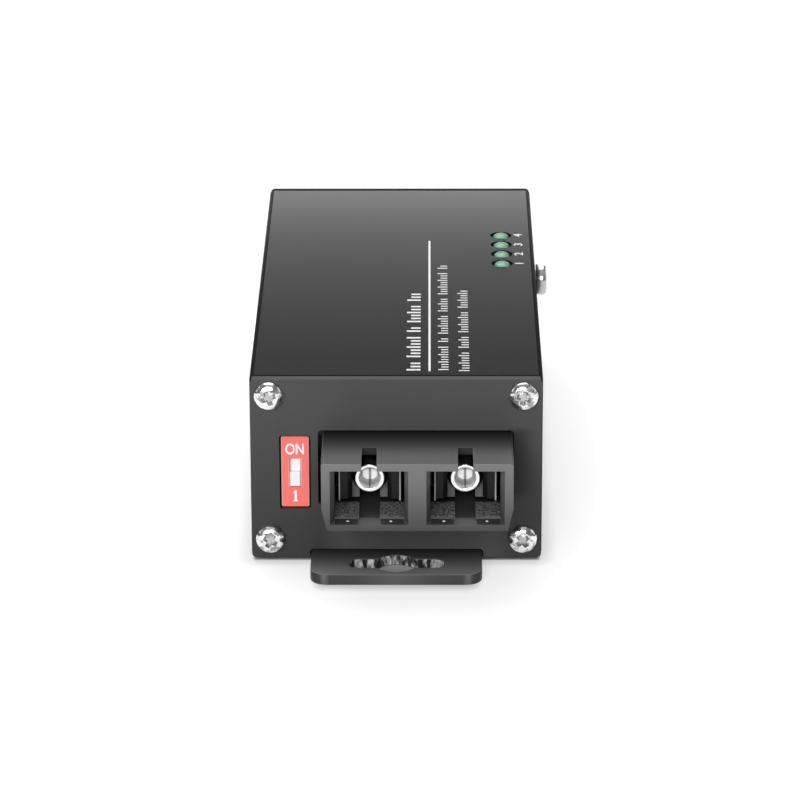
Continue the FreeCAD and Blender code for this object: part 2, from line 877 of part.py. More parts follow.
def jack_span():
    """The copper port's outer sizes: x, y and z."""
    y = (rear + jack_stand_out - jack_depth, rear + jack_stand_out)
    return about(jack_x, jack_width), y, (board_top, board_top + jack_height)


def jack_cavity():
    """Space for the plug, stepped below for the plug's latch."""
    y = (jack_span()[1][1] - jack_cavity_depth, jack_span()[1][1] + 1)
    foot = board_top + jack_cavity_foot
    wide = block(about(jack_x, jack_cavity_width), y, (foot, foot + jack_cavity_height))
    latch = block(about(jack_x, jack_latch_width), y, (foot - jack_latch_height, foot + 1))
    return joined([wide, latch])


def jack_housing():
    """Black moulding inside the copper port's shield."""
    x, y, z = jack_span()
    t = shield_thickness
    body = block((x[0] + t, x[1] - t), (y[0] + t, y[1] - t), (z[0], z[1] - t))
    pegs = [
        polygon_rod(jack_peg_radius, (px, y[1] - jack_peg_inset, board_bottom - 0.6),
                    (px, y[1] - jack_peg_inset, board_top + 0.5))
        for px in about(jack_x, jack_peg_across)
    ]
    return joined([body] + pegs).cut(jack_cavity())


def jack_shield():
    """Folded sheet round the copper port, open underneath."""
    x, y, z = jack_span()
    t = shield_thickness
    shell = block(x, y, z)
    hollow = block((x[0] + t, x[1] - t), (y[0] + t, y[1] - t), (z[0] - 1, z[1] - t))
    return without(shell, [hollow, jack_cavity()])


def jack_contacts():
    """Eight spring wires that lean back from the cavity's ceiling."""
    ceiling = board_top + jack_cavity_foot + jack_cavity_height
    start = jack_span()[1][1] - 1.6
    wire = jack_contact_width
    outline = [
        (start, ceiling), (start - 1.2, ceiling),
        (start - jack_contact_reach, ceiling - jack_contact_drop),
        (start - jack_contact_reach, ceiling - jack_contact_drop - wire),
        (start, ceiling - wire),
    ]
    wires = []
    for i in range(jack_contact_count):
        x = jack_x + jack_contact_pitch * (i - (jack_contact_count - 1) / 2) - wire / 2
        wires.append(prism([(x, y, z) for y, z in outline], V(wire, 0, 0)))
    return group(wires)


# ---------------------------------------------------------------- power terminal

def terminal_header():
    """Shroud on the board that the terminal plug pushes into."""
    y = (header_back, header_face)
    body = block(about(terminal_x, header_width), y, (board_top, board_top + header_height))
    cavity = block(about(terminal_x, header_width - 2 * header_wall),
                   (header_back + header_back_wall, y[1] + 1),
                   (board_top + header_wall, board_top + header_height - header_wall))
    bore = 2 * (header_pin_half + screw_fit)
    holes = [
        block(about(x, bore), (header_back, header_back + header_back_wall), about(header_pin_z, bore))
        for x in way_places.values()
    ]
    return without(body, [cavity] + holes)


def header_pins():
    """Two bent pins from the board into the shroud."""
    pins = []
    for x in way_places.values():
        leg = square_pin((x, header_leg_y), header_pin_half, (pin_foot, header_pin_z + header_pin_half))
        arm = block(about(x, 2 * header_pin_half),
                    (header_leg_y, header_back + header_back_wall + header_pin_reach),
                    about(header_pin_z, 2 * header_pin_half))
        pins.append(joined([leg, arm]))
    return group(pins)


def terminal_plug():
    """Plug that carries both wire clamps: a nose in the shroud and a body behind it."""
    nose = block(about(terminal_x, header_width - 2 * header_wall - 2 * plug_fit),
                 (header_back + header_back_wall + plug_fit, header_face + plug_fit + 1),
                 (board_top + header_wall + plug_fit, board_top + header_height - header_wall - plug_fit))
    body = block(about(terminal_x, plug_body_width), (header_face + plug_fit, plug_face),
                 (board_top + plug_foot, plug_top))
    cuts = []
    for x in way_places.values():
        cuts += way_cuts(x)
    return without(joined([nose, body]), cuts)


def way_cuts(x):
    """What one wire way takes out of the plug."""
    room = cage_height + cage_travel + 2 * cage_fit
    pocket = block(about(x, cage_width + 2 * cage_fit),
                   (cage_y - cage_depth / 2 - cage_fit, plug_face + 1), (cage_floor, cage_floor + room))
    pin_room = 2 * (header_pin_half + plug_pin_clearance)
    pin = block(about(x, pin_room), (header_back, cage_y - cage_depth / 2), about(header_pin_z, pin_room))
    shank = rod(clamp_shank_radius + clamp_fit, (x, cage_y, cage_floor + room - 0.5), (x, cage_y, plug_top))
    recess = rod(clamp_head_radius + clamp_fit, (x, cage_y, plug_top - clamp_head_recess),
                 (x, cage_y, plug_top + 1))
    return [pocket, pin, shank, recess]


def clamp_cage(x):
    """Square cage that lifts the wire against the screw."""
    foot = cage_floor + cage_fit
    y = about(cage_y, cage_depth)
    frame = block(about(x, cage_width), y, (foot, foot + cage_height))
    window = block(about(x, cage_width - 2 * cage_wall), (y[0] - 1, y[1] + 1),
                   (foot + cage_wall, foot + cage_height - cage_wall))
    thread = rod(clamp_shank_radius + clamp_fit, (x, cage_y, foot + cage_height - cage_wall),
                 (x, cage_y, foot + cage_height))
    return without(frame, [window, thread])


def clamp_screw(x):
    """Slotted screw that turns in the plug and draws the cage up."""
    seat = plug_top - clamp_head_recess
    tip = cage_floor + cage_fit + cage_height - cage_wall - 0.15
    head = rod(clamp_head_radius, (x, cage_y, seat), (x, cage_y, seat + clamp_head_height))
    slot = block(about(x, 3 * clamp_head_radius), about(cage_y, clamp_slot_width),
                 (seat + clamp_head_height - clamp_slot_depth, seat + clamp_head_height + 1))
    shank = rod(clamp_shank_radius, (x, cage_y, tip), (x, cage_y, seat + 0.1))
    return joined([head.cut(slot), shank])


# ---------------------------------------------------------------- the whole converter

def pieces():
    """Every piece by its node name."""
    parts = {
        "case_extrusion": case_extrusion(),
        "front_panel": front_panel(),
        "rear_panel": rear_panel(),
        "front_screws": panel_screws(front, V(0, -1, 0)),
        "rear_screws": panel_screws(rear, Y_AXIS),
        "mounting_bar": mounting_bar(),
        "bar_screws": bar_screws(),
        "ground_screw": ground_screw(),
        "ground_flat_washer": ground_flat_washer(),
        "ground_lock_washer": ground_lock_washer(),
        "main_board": main_board(),
        "port_housing": port_housing(),
        "module_cover": module_cover(),
        "module_board": module_board(),
        "module_pins": module_pins(),
        "dip_body": dip_body(),
        "dip_slider": dip_slider(),
        "dip_pins": dip_pins(),
        "lamp_block": lamp_block(),
        "lamp_leads": lamp_leads(),
        "jack_housing": jack_housing(),
        "jack_shield": jack_shield(),
        "jack_contacts": jack_contacts(),
        "terminal_header": terminal_header(),
        "header_pins": header_pins(),
        "terminal_plug": terminal_plug(),
        "converter_chip": converter_chip(),
        "magnetics": on_board(magnetics_place, magnetics_size),
        "crystal": on_board(crystal_place, crystal_size),
        "power_inductor": power_inductor(),
        "regulator": on_board(regulator_place, regulator_size),
        "memory_chip": on_board(memory_place, memory_size),
    }
    for side, x in socket_axes.items():
        parts[f"sleeve_barrel_{side}"] = sleeve_barrel(x)
        parts[f"split_sleeve_{side}"] = split_sleeve(x)
        parts[f"fibre_stub_{side}"] = fibre_stub(x)
        parts[f"latch_insert_{side}"] = latch_insert(x)
        parts[f"optical_can_{side}"] = optical_can(x)
    for side, x in way_places.items():
        parts[f"clamp_screw_{side}"] = clamp_screw(x)
        parts[f"clamp_cage_{side}"] = clamp_cage(x)
    for number, y in enumerate(lamp_places, start=1):
        parts[f"lamp_{number}"] = lamp(y)
    for number, place in enumerate(capacitor_places, start=1):
        parts[f"capacitor_{number}"] = capacitor(place)
    return parts


os.makedirs("parts", exist_ok=True)
for name, shape in pieces().items():
    shape.exportStep(f"parts/{name}.step")
    print(f"{name}: {len(shape.Solids)} solid(s), {shape.Volume:.1f} mm3, valid {shape.isValid()}")
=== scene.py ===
# %% [markdown]
# # A fibre media converter
#
# The object is a small black metal box. A duplex fibre port looks out of its front panel, beside
# a one-way slide switch, and a copper port and a power terminal sit at the rear. A flat bar with
# keyholes lies in a channel under the box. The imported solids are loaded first, and this script
# dresses them: it gives each one a finish, and rebuilds the pieces whose small shapes matter.

# %% Load the solids
import math
import bmesh
import bpy
from mathutils import Matrix, Vector


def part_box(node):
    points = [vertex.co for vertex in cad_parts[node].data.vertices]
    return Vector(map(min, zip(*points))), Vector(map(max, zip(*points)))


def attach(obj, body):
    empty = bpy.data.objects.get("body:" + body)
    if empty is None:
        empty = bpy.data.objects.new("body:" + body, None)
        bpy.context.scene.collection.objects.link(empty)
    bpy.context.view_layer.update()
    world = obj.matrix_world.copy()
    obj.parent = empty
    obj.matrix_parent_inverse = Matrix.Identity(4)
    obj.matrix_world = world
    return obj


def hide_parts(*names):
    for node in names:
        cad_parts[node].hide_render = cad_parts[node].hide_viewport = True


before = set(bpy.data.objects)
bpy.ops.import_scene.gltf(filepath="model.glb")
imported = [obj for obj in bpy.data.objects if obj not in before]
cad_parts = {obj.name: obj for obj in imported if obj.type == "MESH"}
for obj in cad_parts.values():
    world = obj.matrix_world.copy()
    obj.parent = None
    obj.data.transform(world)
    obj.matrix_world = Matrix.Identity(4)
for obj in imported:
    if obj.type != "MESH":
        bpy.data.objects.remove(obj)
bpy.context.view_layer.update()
print("nodes", len(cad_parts))

# %% [markdown]
# ## Units
#
# Blender works in metres here and the object is small, so sizes are written in millimetres and
# turned into metres by one constant. A helper finds a solid's lowest and highest corners, and two
# more turn a bmesh, in which shapes are built, into a mesh and a mesh into an object.

# %% Millimetres, meshes and objects
MM = 0.001


def corners(node):
    """Lowest and highest corners of a solid, in millimetres."""
    low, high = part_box(node)
    return low / MM, high / MM


def as_mesh(name, shape):
    mesh = bpy.data.meshes.new(name)
    shape.to_mesh(mesh)
    shape.free()
    return mesh


def new_object(name, data):
    made = bpy.data.objects.new(name, data)
    bpy.context.scene.collection.objects.link(made)
    return made


sides = ("left", "right")
case_low, case_high = corners("case_extrusion")
panel_low, panel_high = corners("front_panel")
top_z = case_high.z
print("case", [round(v, 2) for v in case_high - case_low])

# %% [markdown]
# ## The camera
#
# A long lens from a little over half a metre keeps the box's sides nearly parallel, as a product
# picture has them. The camera's place comes from two angles about the point it looks at. Its three
# axes are worked out as vectors, with room for a slight roll, and are the columns of one matrix.

# %% Camera
aim = Vector((0.52, -40.8, 23.27)) * MM
side_turn = math.radians(0.4237)
raised = math.radians(21.098)
roll = math.radians(-0.1626)
away = 546.17 * MM

backward = Vector((math.sin(side_turn) * math.cos(raised),
                   -math.cos(side_turn) * math.cos(raised),
                   math.sin(raised)))
level_right = (-backward).cross(Vector((0, 0, 1))).normalized()
level_up = level_right.cross(-backward).normalized()
lens_right = math.cos(roll) * level_right + math.sin(roll) * level_up
lens_up = -math.sin(roll) * level_right + math.cos(roll) * level_up

lens = bpy.data.cameras.new("camera")
lens.lens = 184.46
lens.sensor_width = 36.0
lens.clip_start = 0.01
camera = new_object("camera", lens)
turn = Matrix((lens_right, lens_up, backward)).transposed().to_4x4()
camera.matrix_world = Matrix.Translation(aim + backward * away) @ turn
bpy.context.scene.camera = camera
print("camera at", [round(v, 4) for v in camera.location])

# %% [markdown]
# ## Shader sums
#
# A finish needs some arithmetic, such as noise times a strength, which is hard to read as nodes. One
# small class wraps a node's output and lets Python's own + - * and / add the Math nodes. A second
# one holds a material's nodes: one method adds any node, from its kind, its settings and its
# sockets' values, and the others add the kinds that come up again and again.

# %% A class for finishes
class Signal:
    """An output of a node, which can be used in a sum."""

    def __init__(self, finish, socket):
        self.finish = finish
        self.socket = socket

    def __add__(self, other):
        return self.finish.maths("ADD", self, other)

    def __radd__(self, other):
        return self.finish.maths("ADD", other, self)

    def __sub__(self, other):
        return self.finish.maths("SUBTRACT", self, other)

    def __rsub__(self, other):
        return self.finish.maths("SUBTRACT", other, self)

    def __mul__(self, other):
        return self.finish.maths("MULTIPLY", self, other)

    def __rmul__(self, other):
        return self.finish.maths("MULTIPLY", other, self)

    def __truediv__(self, other):
        return self.finish.maths("DIVIDE", self, other)

    def __abs__(self):
        return self.finish.maths("ABSOLUTE", self)


class Finish:
    """The nodes of a material or of the world. A piece's finish also has a colour and a gloss."""

    def __init__(self, owner):
        self.owner = owner
        self.tree = owner.node_tree
        self.colour = None
        self.gloss = None

    def node(self, kind, settings=None, sockets=None, output=0):
        made = self.tree.nodes.new(kind)
        for name, value in (settings or {}).items():
            setattr(made, name, value)
        for name, value in (sockets or {}).items():
            self.feed(made.inputs[name], value)
        return Signal(self, made.outputs[output]) if made.outputs else None

    def feed(self, socket, value):
        if isinstance(value, Signal):
            self.tree.links.new(value.socket, socket)
        elif hasattr(socket.default_value, "__len__") and len(socket.default_value) == 4:
            socket.default_value = (*value[:3], 1.0)
        else:
            socket.default_value = value

    def maths(self, operation, first, second=0.0):
        return self.node("ShaderNodeMath", {"operation": operation}, {0: first, 1: second})

    def above_zero(self, value):
        return self.maths("MAXIMUM", value)

    def mix(self, share, first, second, blend="MIX"):
        """Colours first and second, mixed by share."""
        return self.node("ShaderNodeMix", {"data_type": "RGBA", "blend_type": blend},
                         {0: share, 6: first, 7: second}, output=2)

    def parts(self, vector):
        """The x, y and z of a vector."""
        split = self.node("ShaderNodeSeparateXYZ", None, {"Vector": vector}).socket.node
        return [Signal(self, split.outputs[axis]) for axis in "XYZ"]

    def place(self):
        """The point on the piece, in metres."""
        return self.node("ShaderNodeTexCoord", output="Object")

    def facing(self):
        """How far the surface looks to the right, to the rear and up, each from -1 to 1."""
        return self.parts(self.node("ShaderNodeTexCoord", output="Normal"))

    def ramp(self, value, start, end, first, last):
        """A number that goes smoothly from first to last as value goes from start to end."""
        return self.node("ShaderNodeMapRange", {"interpolation_type": "SMOOTHSTEP"},
                         {"Value": value, "From Min": start, "From Max": end,
                          "To Min": first, "To Max": last})

    def along(self, length, start, end, first, last):
        """A ramp over a length, with its start and its end in millimetres."""
        return self.ramp(length, start * MM, end * MM, first, last)

    def give(self, socket, value):
        """Give a socket of the shader a constant or a signal."""
        self.feed(self.tree.nodes["Principled BSDF"].inputs[socket], value)

    def recolour(self, colour):
        self.colour = colour
        self.give("Base Color", colour)

    def shade(self, factor):
        """Make the finish's colour darker or lighter by a factor that varies over the piece."""
        self.recolour(self.mix(1.0, self.colour, factor, "MULTIPLY"))

    def noise(self, per_mm, detail=2.0, stretch=(1, 1, 1)):
        """Noise with about per_mm patches to a millimetre, from 0 to 1."""
        where = self.node("ShaderNodeMapping", None,
                          {"Vector": self.place(), "Scale": tuple(s * per_mm / MM for s in stretch)})
        return self.node("ShaderNodeTexNoise", None,
                         {"Vector": where, "Scale": 1.0, "Detail": detail, "Roughness": 0.55})

    def bump(self, height, depth_mm):
        """A surface normal that follows height, up to depth_mm deep."""
        return self.node("ShaderNodeBump", None,
                         {"Height": height, "Distance": depth_mm * MM, "Strength": 1.0})


# %% [markdown]
# ## How a finish is put together
#
# Every finish here has the same parts: a colour with a slow mottle, a gloss that varies from place
# to place, and a grain in the surface. What differs is the size and the strength of each, how much
# the surface shines and whether it is metal. One function takes those and keeps the finish under
# its name, so that more can be added to it.

# %% Build one finish
finishes = {}
unevenness = 0.2


def new_finish(name, colour, gloss, mottle, grain, shine=0.5, metallic=0.0, **fixed):
    """Make a finish.

    gloss is (roughness, spread), mottle is (patches to a millimetre, strength) and grain is
    (specks to a millimetre, depth in millimetres). Any other name is one of the shader's own
    sockets, with _ for a space, and its value is the same all over.
    """
    material = bpy.data.materials.new(name)
    material.use_nodes = True
    finish = Finish(material)
    patches = finish.noise(mottle[0], 3.0)
    share = patches * (2 * mottle[1]) + (0.5 - mottle[1])
    darker = tuple(part * (1 - unevenness) for part in colour)
    lighter = tuple(min(1.0, part * (1 + unevenness)) for part in colour)
    finish.recolour(finish.mix(share, darker, lighter))
    speckle = finish.noise(grain[0])
    finish.gloss = speckle * gloss[1] + (gloss[0] - gloss[1] / 2)
    finish.give("Roughness", finish.gloss)
    finish.give("Normal", finish.bump(speckle, grain[1]))
    finish.give("Specular IOR Level", shine)
    finish.give("Metallic", metallic)
    for socket, value in fixed.items():
        finish.give(socket.replace("_", " "), value)
    finishes[name] = finish


# %% [markdown]
# ## The finishes
#
# The tube is anodised and the end panels and the bar are powder coated, so both are black, but
# the coat is a little lighter and less even. The port is moulded in a lighter grey plastic, and
# the floors of its sockets are knurled. Each row has colour, gloss, mottle, grain and shine.

# %% Black and grey finishes
dark_finishes = {
    "case_black": ((0.021, 0.021, 0.022), (0.36, 0.05), (0.15, 0.25), (9.0, 0.004), 0.25),
    # case_corner is darker and duller, a painted shade for corners and edges
    "case_corner": ((0.012, 0.012, 0.013), (0.75, 0.08), (0.15, 0.25), (9.0, 0.004), 0.05),
    "panel_black": ((0.06, 0.06, 0.061), (0.5, 0.08), (0.12, 0.25), (6.0, 0.006), 0.25),
    "bar_black": ((0.105, 0.105, 0.106), (0.48, 0.08), (0.15, 0.3), (6.0, 0.006), 0.3),
    "port_black": ((0.14, 0.14, 0.143), (0.45, 0.08), (0.2, 0.2), (7.0, 0.006), 0.35),
    "grip_black": ((0.115, 0.115, 0.115), (0.55, 0.1), (1.2, 0.4), (3.2, 0.09), 0.2),
    # keyway_black is painted shade for the rear walls of the keyways
    "keyway_black": ((0.03, 0.03, 0.031), (0.5, 0.08), (0.3, 0.2), (7.0, 0.006), 0.05),
    "latch_black": ((0.012, 0.012, 0.013), (0.4, 0.08), (0.4, 0.2), (8.0, 0.004), 0.25),
    "floor_black": ((0.035, 0.035, 0.036), (0.5, 0.08), (0.4, 0.3), (8.0, 0.004), 0.15),
    "block_black": ((0.02, 0.02, 0.021), (0.45, 0.08), (0.3, 0.2), (8.0, 0.004), 0.5),
    "jack_black": ((0.022, 0.022, 0.024), (0.42, 0.08), (0.3, 0.2), (8.0, 0.004), 0.5),
    "chip_black": ((0.025, 0.025, 0.027), (0.55, 0.08), (0.3, 0.2), (10.0, 0.006), 0.5),
    "ferrite_grey": ((0.1, 0.1, 0.1), (0.7, 0.1), (0.4, 0.3), (9.0, 0.01), 0.5),
    "plate_grey": ((0.15, 0.15, 0.15), (0.45, 0.08), (0.4, 0.2), (8.0, 0.004), 0.5),
    "edge_grey": ((0.5, 0.5, 0.5), (0.4, 0.08), (0.4, 0.2), (8.0, 0.004), 0.5),
}
for name, numbers in dark_finishes.items():
    new_finish(name, *numbers)
grip_finish = finishes["grip_black"]
knurl = grip_finish.ramp(grip_finish.noise(2.6, 1.0), 0.38, 0.62, 0.45, 1.7)
grip_finish.shade(knurl)

# %% [markdown]
# ## Shade on the port
#
# Shade is painted into the moulding's colour. The faces that look up are painted darker where the
# moulding meets the box, because less light gets in there, and paler at its open end. The other
# faces are painted paler towards the top and darker towards the foot. The painted shade follows the
# place on the piece. It takes one factor for the faces that look up and one for the others, mixed
# by how far the surface looks up.

# %% Port shade
def two_way_shade(finish, on_top, on_sides):
    """Paint light and shade into a finish's colour, by on_top where it looks up and by on_sides elsewhere."""
    up = finish.ramp(finish.facing()[2], 0.3, 0.8, 0.0, 1.0)
    finish.shade(up * on_top + (1.0 - up) * on_sides)


port_finish = finishes["port_black"]
port_low, port_high = corners("port_housing")
port_y, port_z = port_finish.parts(port_finish.place())[1:]
# Painted shade on the faces that look up, and painted light towards the top on the others
port_top_painted_shade = port_finish.along(port_y, port_low.y, panel_low.y, 0.62, 0.03)
port_side_painted_light = port_finish.along(port_z, port_low.z, port_high.z, 0.36, 1.35)
two_way_shade(port_finish, port_top_painted_shade, port_side_painted_light)

# %% [markdown]
# ## Shade on the bar
#
# Light and shade are painted into the bar's colour. Its top is painted dark beside the box, as the
# shade of the port and the box, and much paler at its free end. Its end face has painted highlights
# in the middle and at one spot near each round corner, which a colour ramp sets out from the middle
# on.

# %% Bar shade
bar_finish = finishes["bar_black"]
bar_high = corners("mounting_bar")[1]
bar_x, bar_y = bar_finish.parts(bar_finish.place())[:2]
# Painted shade on the bar's top, and painted highlights on its end face
bar_top_painted_shade = bar_finish.along(abs(bar_y), -panel_high.y, bar_high.y, 0.6, 1.25)
bar_end_painted_highlights = bar_finish.node("ShaderNodeValToRGB", None, {"Fac": abs(bar_x) / (bar_high.x * MM)})
stops = bar_end_painted_highlights.socket.node.color_ramp.elements
for place, level in ((0.0, 1.0), (0.45, 0.55), (0.77, 0.45), (0.84, 1.3), (0.89, 0.5), (0.95, 0.2)):
    stop = stops[0] if place == 0.0 else stops.new(place)
    stop.color = (level, level, level, 1.0)
stops.remove(stops[-1])
two_way_shade(bar_finish, bar_top_painted_shade * bar_top_painted_shade * bar_top_painted_shade, bar_end_painted_highlights)

# %% [markdown]
# ## Shade on the panels
#
# Light and shade are painted into the panels' colour. They are painted paler towards the top, and
# the faces that look up, such as the front panel's top edge, paler still, as a painted highlight.
# On the front one a painted shadow of the port lies to its right, and painted light, as sent up by
# the bar, lies on the strip below the port.

# %% Panel shade
panel_finish = finishes["panel_black"]
panel_x, panel_y, panel_z = panel_finish.parts(panel_finish.place())
# Painted light: the panels paler towards the top
panel_painted_light = panel_finish.along(panel_z, case_low.z, case_high.z, 0.64, 1.2)
on_front = panel_finish.along(panel_y, -1.0, 1.0, 1.0, 0.0)

port_middle = (port_low.x + port_high.x) / 2
from_middle = abs(panel_x - port_middle * MM)
bright_heights = (7.0, 9.6)
bright_reach = (9.5, 13.5)
# Painted light on the strip below the port
painted_light_below_port = panel_finish.along(panel_z, *bright_heights, 1.0, 0.0)
painted_light_below_port *= panel_finish.along(from_middle, *bright_reach, 1.0, 0.0)

shade_reach = 4.0
shade_foot = (8.2, 10.5)
shade_head = (18.4, 19.6)
# Painted shadow of the port, to its right
painted_shadow_beside_port = panel_finish.along(panel_x, port_high.x, port_high.x + shade_reach, 1.0, 0.0)
painted_shadow_beside_port *= panel_finish.along(panel_x, port_high.x - 1.0, port_high.x, 0.0, 1.0)
painted_shadow_beside_port *= panel_finish.along(panel_z, *shade_foot, 0.0, 1.0)
painted_shadow_beside_port *= panel_finish.along(panel_z, *shade_head, 1.0, 0.0)
panel_painted_light = panel_painted_light * (1.0 + 0.9 * on_front * painted_light_below_port) * (1.0 - 0.7 * on_front * painted_shadow_beside_port)
# Faces that look up get a painted highlight
two_way_shade(panel_finish, 1.3, panel_painted_light)

# %% [markdown]
# ## Shade on the case
#
# Over the last half millimetre at each cut end the case is rough, and its top there is painted
# dark, as painted shade in the seam beside each panel. The top is painted slowly paler to the rear,
# then a little dimmer, as a painted sheen. Of the faces that don't look up only the outer sides have
# the full colour. Those further in, such as the grooves and the walls of the lamp holes, are painted
# dark as shade.

# %% Case shade
case_finish = finishes["case_black"]
case_x, case_y = case_finish.parts(case_finish.place())[:2]
# Rougher at each cut end, with painted shade on the top there
case_rim = case_finish.along(abs(case_y), case_high.y - 0.5, case_high.y - 0.15, 1.0, 0.1)
case_finish.give("Roughness", case_finish.gloss + 0.6 * (1.0 - case_rim))
# Painted shade on the faces further in than the outer sides
case_painted_hollow_shade = case_finish.along(abs(case_x), case_high.x - 1.4, case_high.x - 0.7, 0.12, 1.0)
dark_until, pale_from, dimmer_from = -45.0, 28.0, 30.0
# Painted sheen: the top paler to the rear
case_top_painted_sheen = case_finish.along(case_y, dark_until, pale_from, 0.4, 2.0)
case_top_painted_sheen *= case_finish.along(case_y, dimmer_from, case_high.y, 1.0, 0.6)
two_way_shade(case_finish, case_top_painted_sheen * case_rim, case_painted_hollow_shade)

# %% [markdown]
# ## Metals
#
# Bare and plated metal shows what stands round it, so its roughness matters most. The plating of
# the screws is patchy, and the walls of the keyholes are torn in upright streaks.

# %% Bright metals
metals = {
    "screw_chrome": ((0.9, 0.9, 0.91), (0.14, 0.12), (1.1, 0.6), (1.5, 0.05)),
    "screw_steel": ((0.5, 0.5, 0.51), (0.2, 0.1), (0.6, 0.2), (2.0, 0.004)),
    "recess_grey": ((0.52, 0.52, 0.53), (0.3, 0.15), (1.4, 0.8), (2.0, 0.04)),
    "washer_steel": ((0.3, 0.3, 0.31), (0.25, 0.12), (0.8, 0.3), (3.0, 0.004)),
    "barrel_metal": ((0.93, 0.93, 0.93), (0.14, 0.08), (0.6, 0.2), (3.0, 0.003)),
    "can_metal": ((0.72, 0.7, 0.64), (0.28, 0.1), (0.5, 0.2), (4.0, 0.003)),
    "pin_tin": ((0.7, 0.7, 0.68), (0.3, 0.12), (0.8, 0.2), (4.0, 0.003)),
    "shield_metal": ((0.62, 0.62, 0.61), (0.3, 0.1), (0.3, 0.25), (2.5, 0.003)),
    "contact_gold": ((0.86, 0.62, 0.26), (0.22, 0.08), (0.8, 0.2), (5.0, 0.002)),
    "clamp_steel": ((0.7, 0.7, 0.71), (0.27, 0.12), (0.8, 0.3), (4.0, 0.004)),
}
for name, numbers in metals.items():
    new_finish(name, *numbers, metallic=1.0)
new_finish("keyhole_metal", (0.26, 0.26, 0.26), (0.4, 0.1), (1.0, 0.3), (3.0, 0.02))

# %% Patches on the screws, streaks in the keyholes
chrome_finish = finishes["screw_chrome"]
patches = chrome_finish.ramp(chrome_finish.noise(1.15, 2.0), 0.48, 0.61, 1.0, 0.42)
chrome_finish.shade(patches)
keyhole_finish = finishes["keyhole_metal"]
upright_grain = (1.0, 1.0, 0.4)
streaks = keyhole_finish.ramp(keyhole_finish.noise(1.1, 5.0, upright_grain), 0.44, 0.64, 0.04, 2.6)
keyhole_finish.shade(streaks)

# %% [markdown]
# ## White, red and green
#
# The switch is a strong red that the light washes out, so it has a faint painted glow of its own,
# and so do the slider and the words. The lamps are clear green plastic, and the print is plain white
# ink.

# %% Coloured finishes
colours = {
    "switch_edge": ((0.99, 0.5, 0.5), (0.3, 0.06), (0.5, 0.12), (6.0, 0.004)),
    "switch_deep": ((0.7, 0.02, 0.05), (0.4, 0.06), (0.5, 0.12), (6.0, 0.004)),
    "print_white": ((0.74, 0.74, 0.74), (0.5, 0.08), (1.5, 0.2), (8.0, 0.002)),
    "pin_white": ((0.95, 0.95, 0.95), (0.3, 0.04), (0.4, 0.1), (6.0, 0.001)),
    "ceramic_grey": ((0.5, 0.5, 0.5), (0.4, 0.04), (0.4, 0.1), (6.0, 0.001), 0.3),
    "board_green": ((0.01, 0.07, 0.03), (0.3, 0.08), (0.6, 0.2), (5.0, 0.004)),
    "terminal_green": ((0.03, 0.33, 0.14), (0.4, 0.08), (0.4, 0.15), (7.0, 0.005)),
}
for name, numbers in colours.items():
    new_finish(name, *numbers)
# Painted glow on the red switch, the white slider and the white words
new_finish("switch_red", (0.99, 0.19, 0.165), (0.36, 0.06), (0.5, 0.12), (6.0, 0.004),
           Emission_Color=(1.0, 0.1, 0.08), Emission_Strength=0.12)
new_finish("slider_white", (0.97, 0.96, 0.96), (0.35, 0.06), (0.5, 0.1), (6.0, 0.004),
           Emission_Color=(1.0, 0.97, 0.98), Emission_Strength=0.1)
new_finish("mark_white", (0.97, 0.97, 0.97), (0.5, 0.08), (1.5, 0.2), (8.0, 0.002),
           Emission_Color=(1.0, 1.0, 1.0), Emission_Strength=0.1)
# The rod ends glow, as a painted highlight
new_finish("rod_white", (0.9, 0.9, 0.9), (0.2, 0.04), (0.4, 0.1), (6.0, 0.001), Emission_Strength=0.4)
new_finish("lamp_green", (0.2, 0.52, 0.28), (0.1, 0.04), (0.8, 0.2), (6.0, 0.001),
           Transmission_Weight=0.35, IOR=1.5)
print("finishes", len(finishes))

# %% [markdown]
# ## The ends of the rods, and the lamps
#
# The end of each rod is painted pale and glowing, a painted highlight, with a dark line down its
# middle and a dark rim. The line and the rim follow the distance from the rod's own axis, sideways,
# so the middle between the two sockets is taken off first. Its upper half is painted dimmer. A lamp
# has a painted reflection that makes it paler in front, and painted shade at its two sides.

# %% Rod and lamp colours
rod_finish = finishes["rod_white"]
lamp_finish = finishes["lamp_green"]
barrel_axis_z = sum(corner.z for corner in corners("sleeve_barrel_left")) / 2
socket_spacing = corners("sleeve_barrel_right")[0].x - corners("sleeve_barrel_left")[0].x
rod_x, _, rod_z = rod_finish.parts(rod_finish.place())
from_axis = abs(abs(rod_x - port_middle * MM) - socket_spacing / 2 * MM)
# Painted highlight on each rod's end, with a dark line, a dark rim and a dimmer upper half
rod_painted_highlight = rod_finish.along(from_axis, 0.04, 0.3, 0.25, 1.0)
rod_painted_highlight *= rod_finish.along(from_axis, 0.8, 1.15, 1.0, 0.25)
rod_painted_highlight *= rod_finish.along(rod_z, barrel_axis_z, barrel_axis_z + 0.5, 1.0, 0.5)
rod_finish.shade(rod_painted_highlight)
rod_finish.give("Emission Color", rod_painted_highlight)

to_right, to_rear, _ = lamp_finish.facing()
# Painted reflection in front and painted shade at the sides of each lamp
lamp_painted_reflection = lamp_finish.ramp(0.0 - to_rear, 0.25, 0.8, 0.0, 1.0)
lamp_finish.recolour(lamp_finish.mix(lamp_painted_reflection, lamp_finish.colour, (0.36, 0.55, 0.5)))
lamp_painted_shade = lamp_finish.ramp(abs(to_right), 0.45, 0.75, 0.0, 0.75)
lamp_finish.recolour(lamp_finish.mix(lamp_painted_shade, lamp_finish.colour, (0.03, 0.16, 0.08)))

# %% [markdown]
# ## Dressing the solids
#
# Each solid comes with a material that has the name of one of the finishes above, so one loop
# gives every solid its finish. The solids keep their own meshes; only what covers them changes.

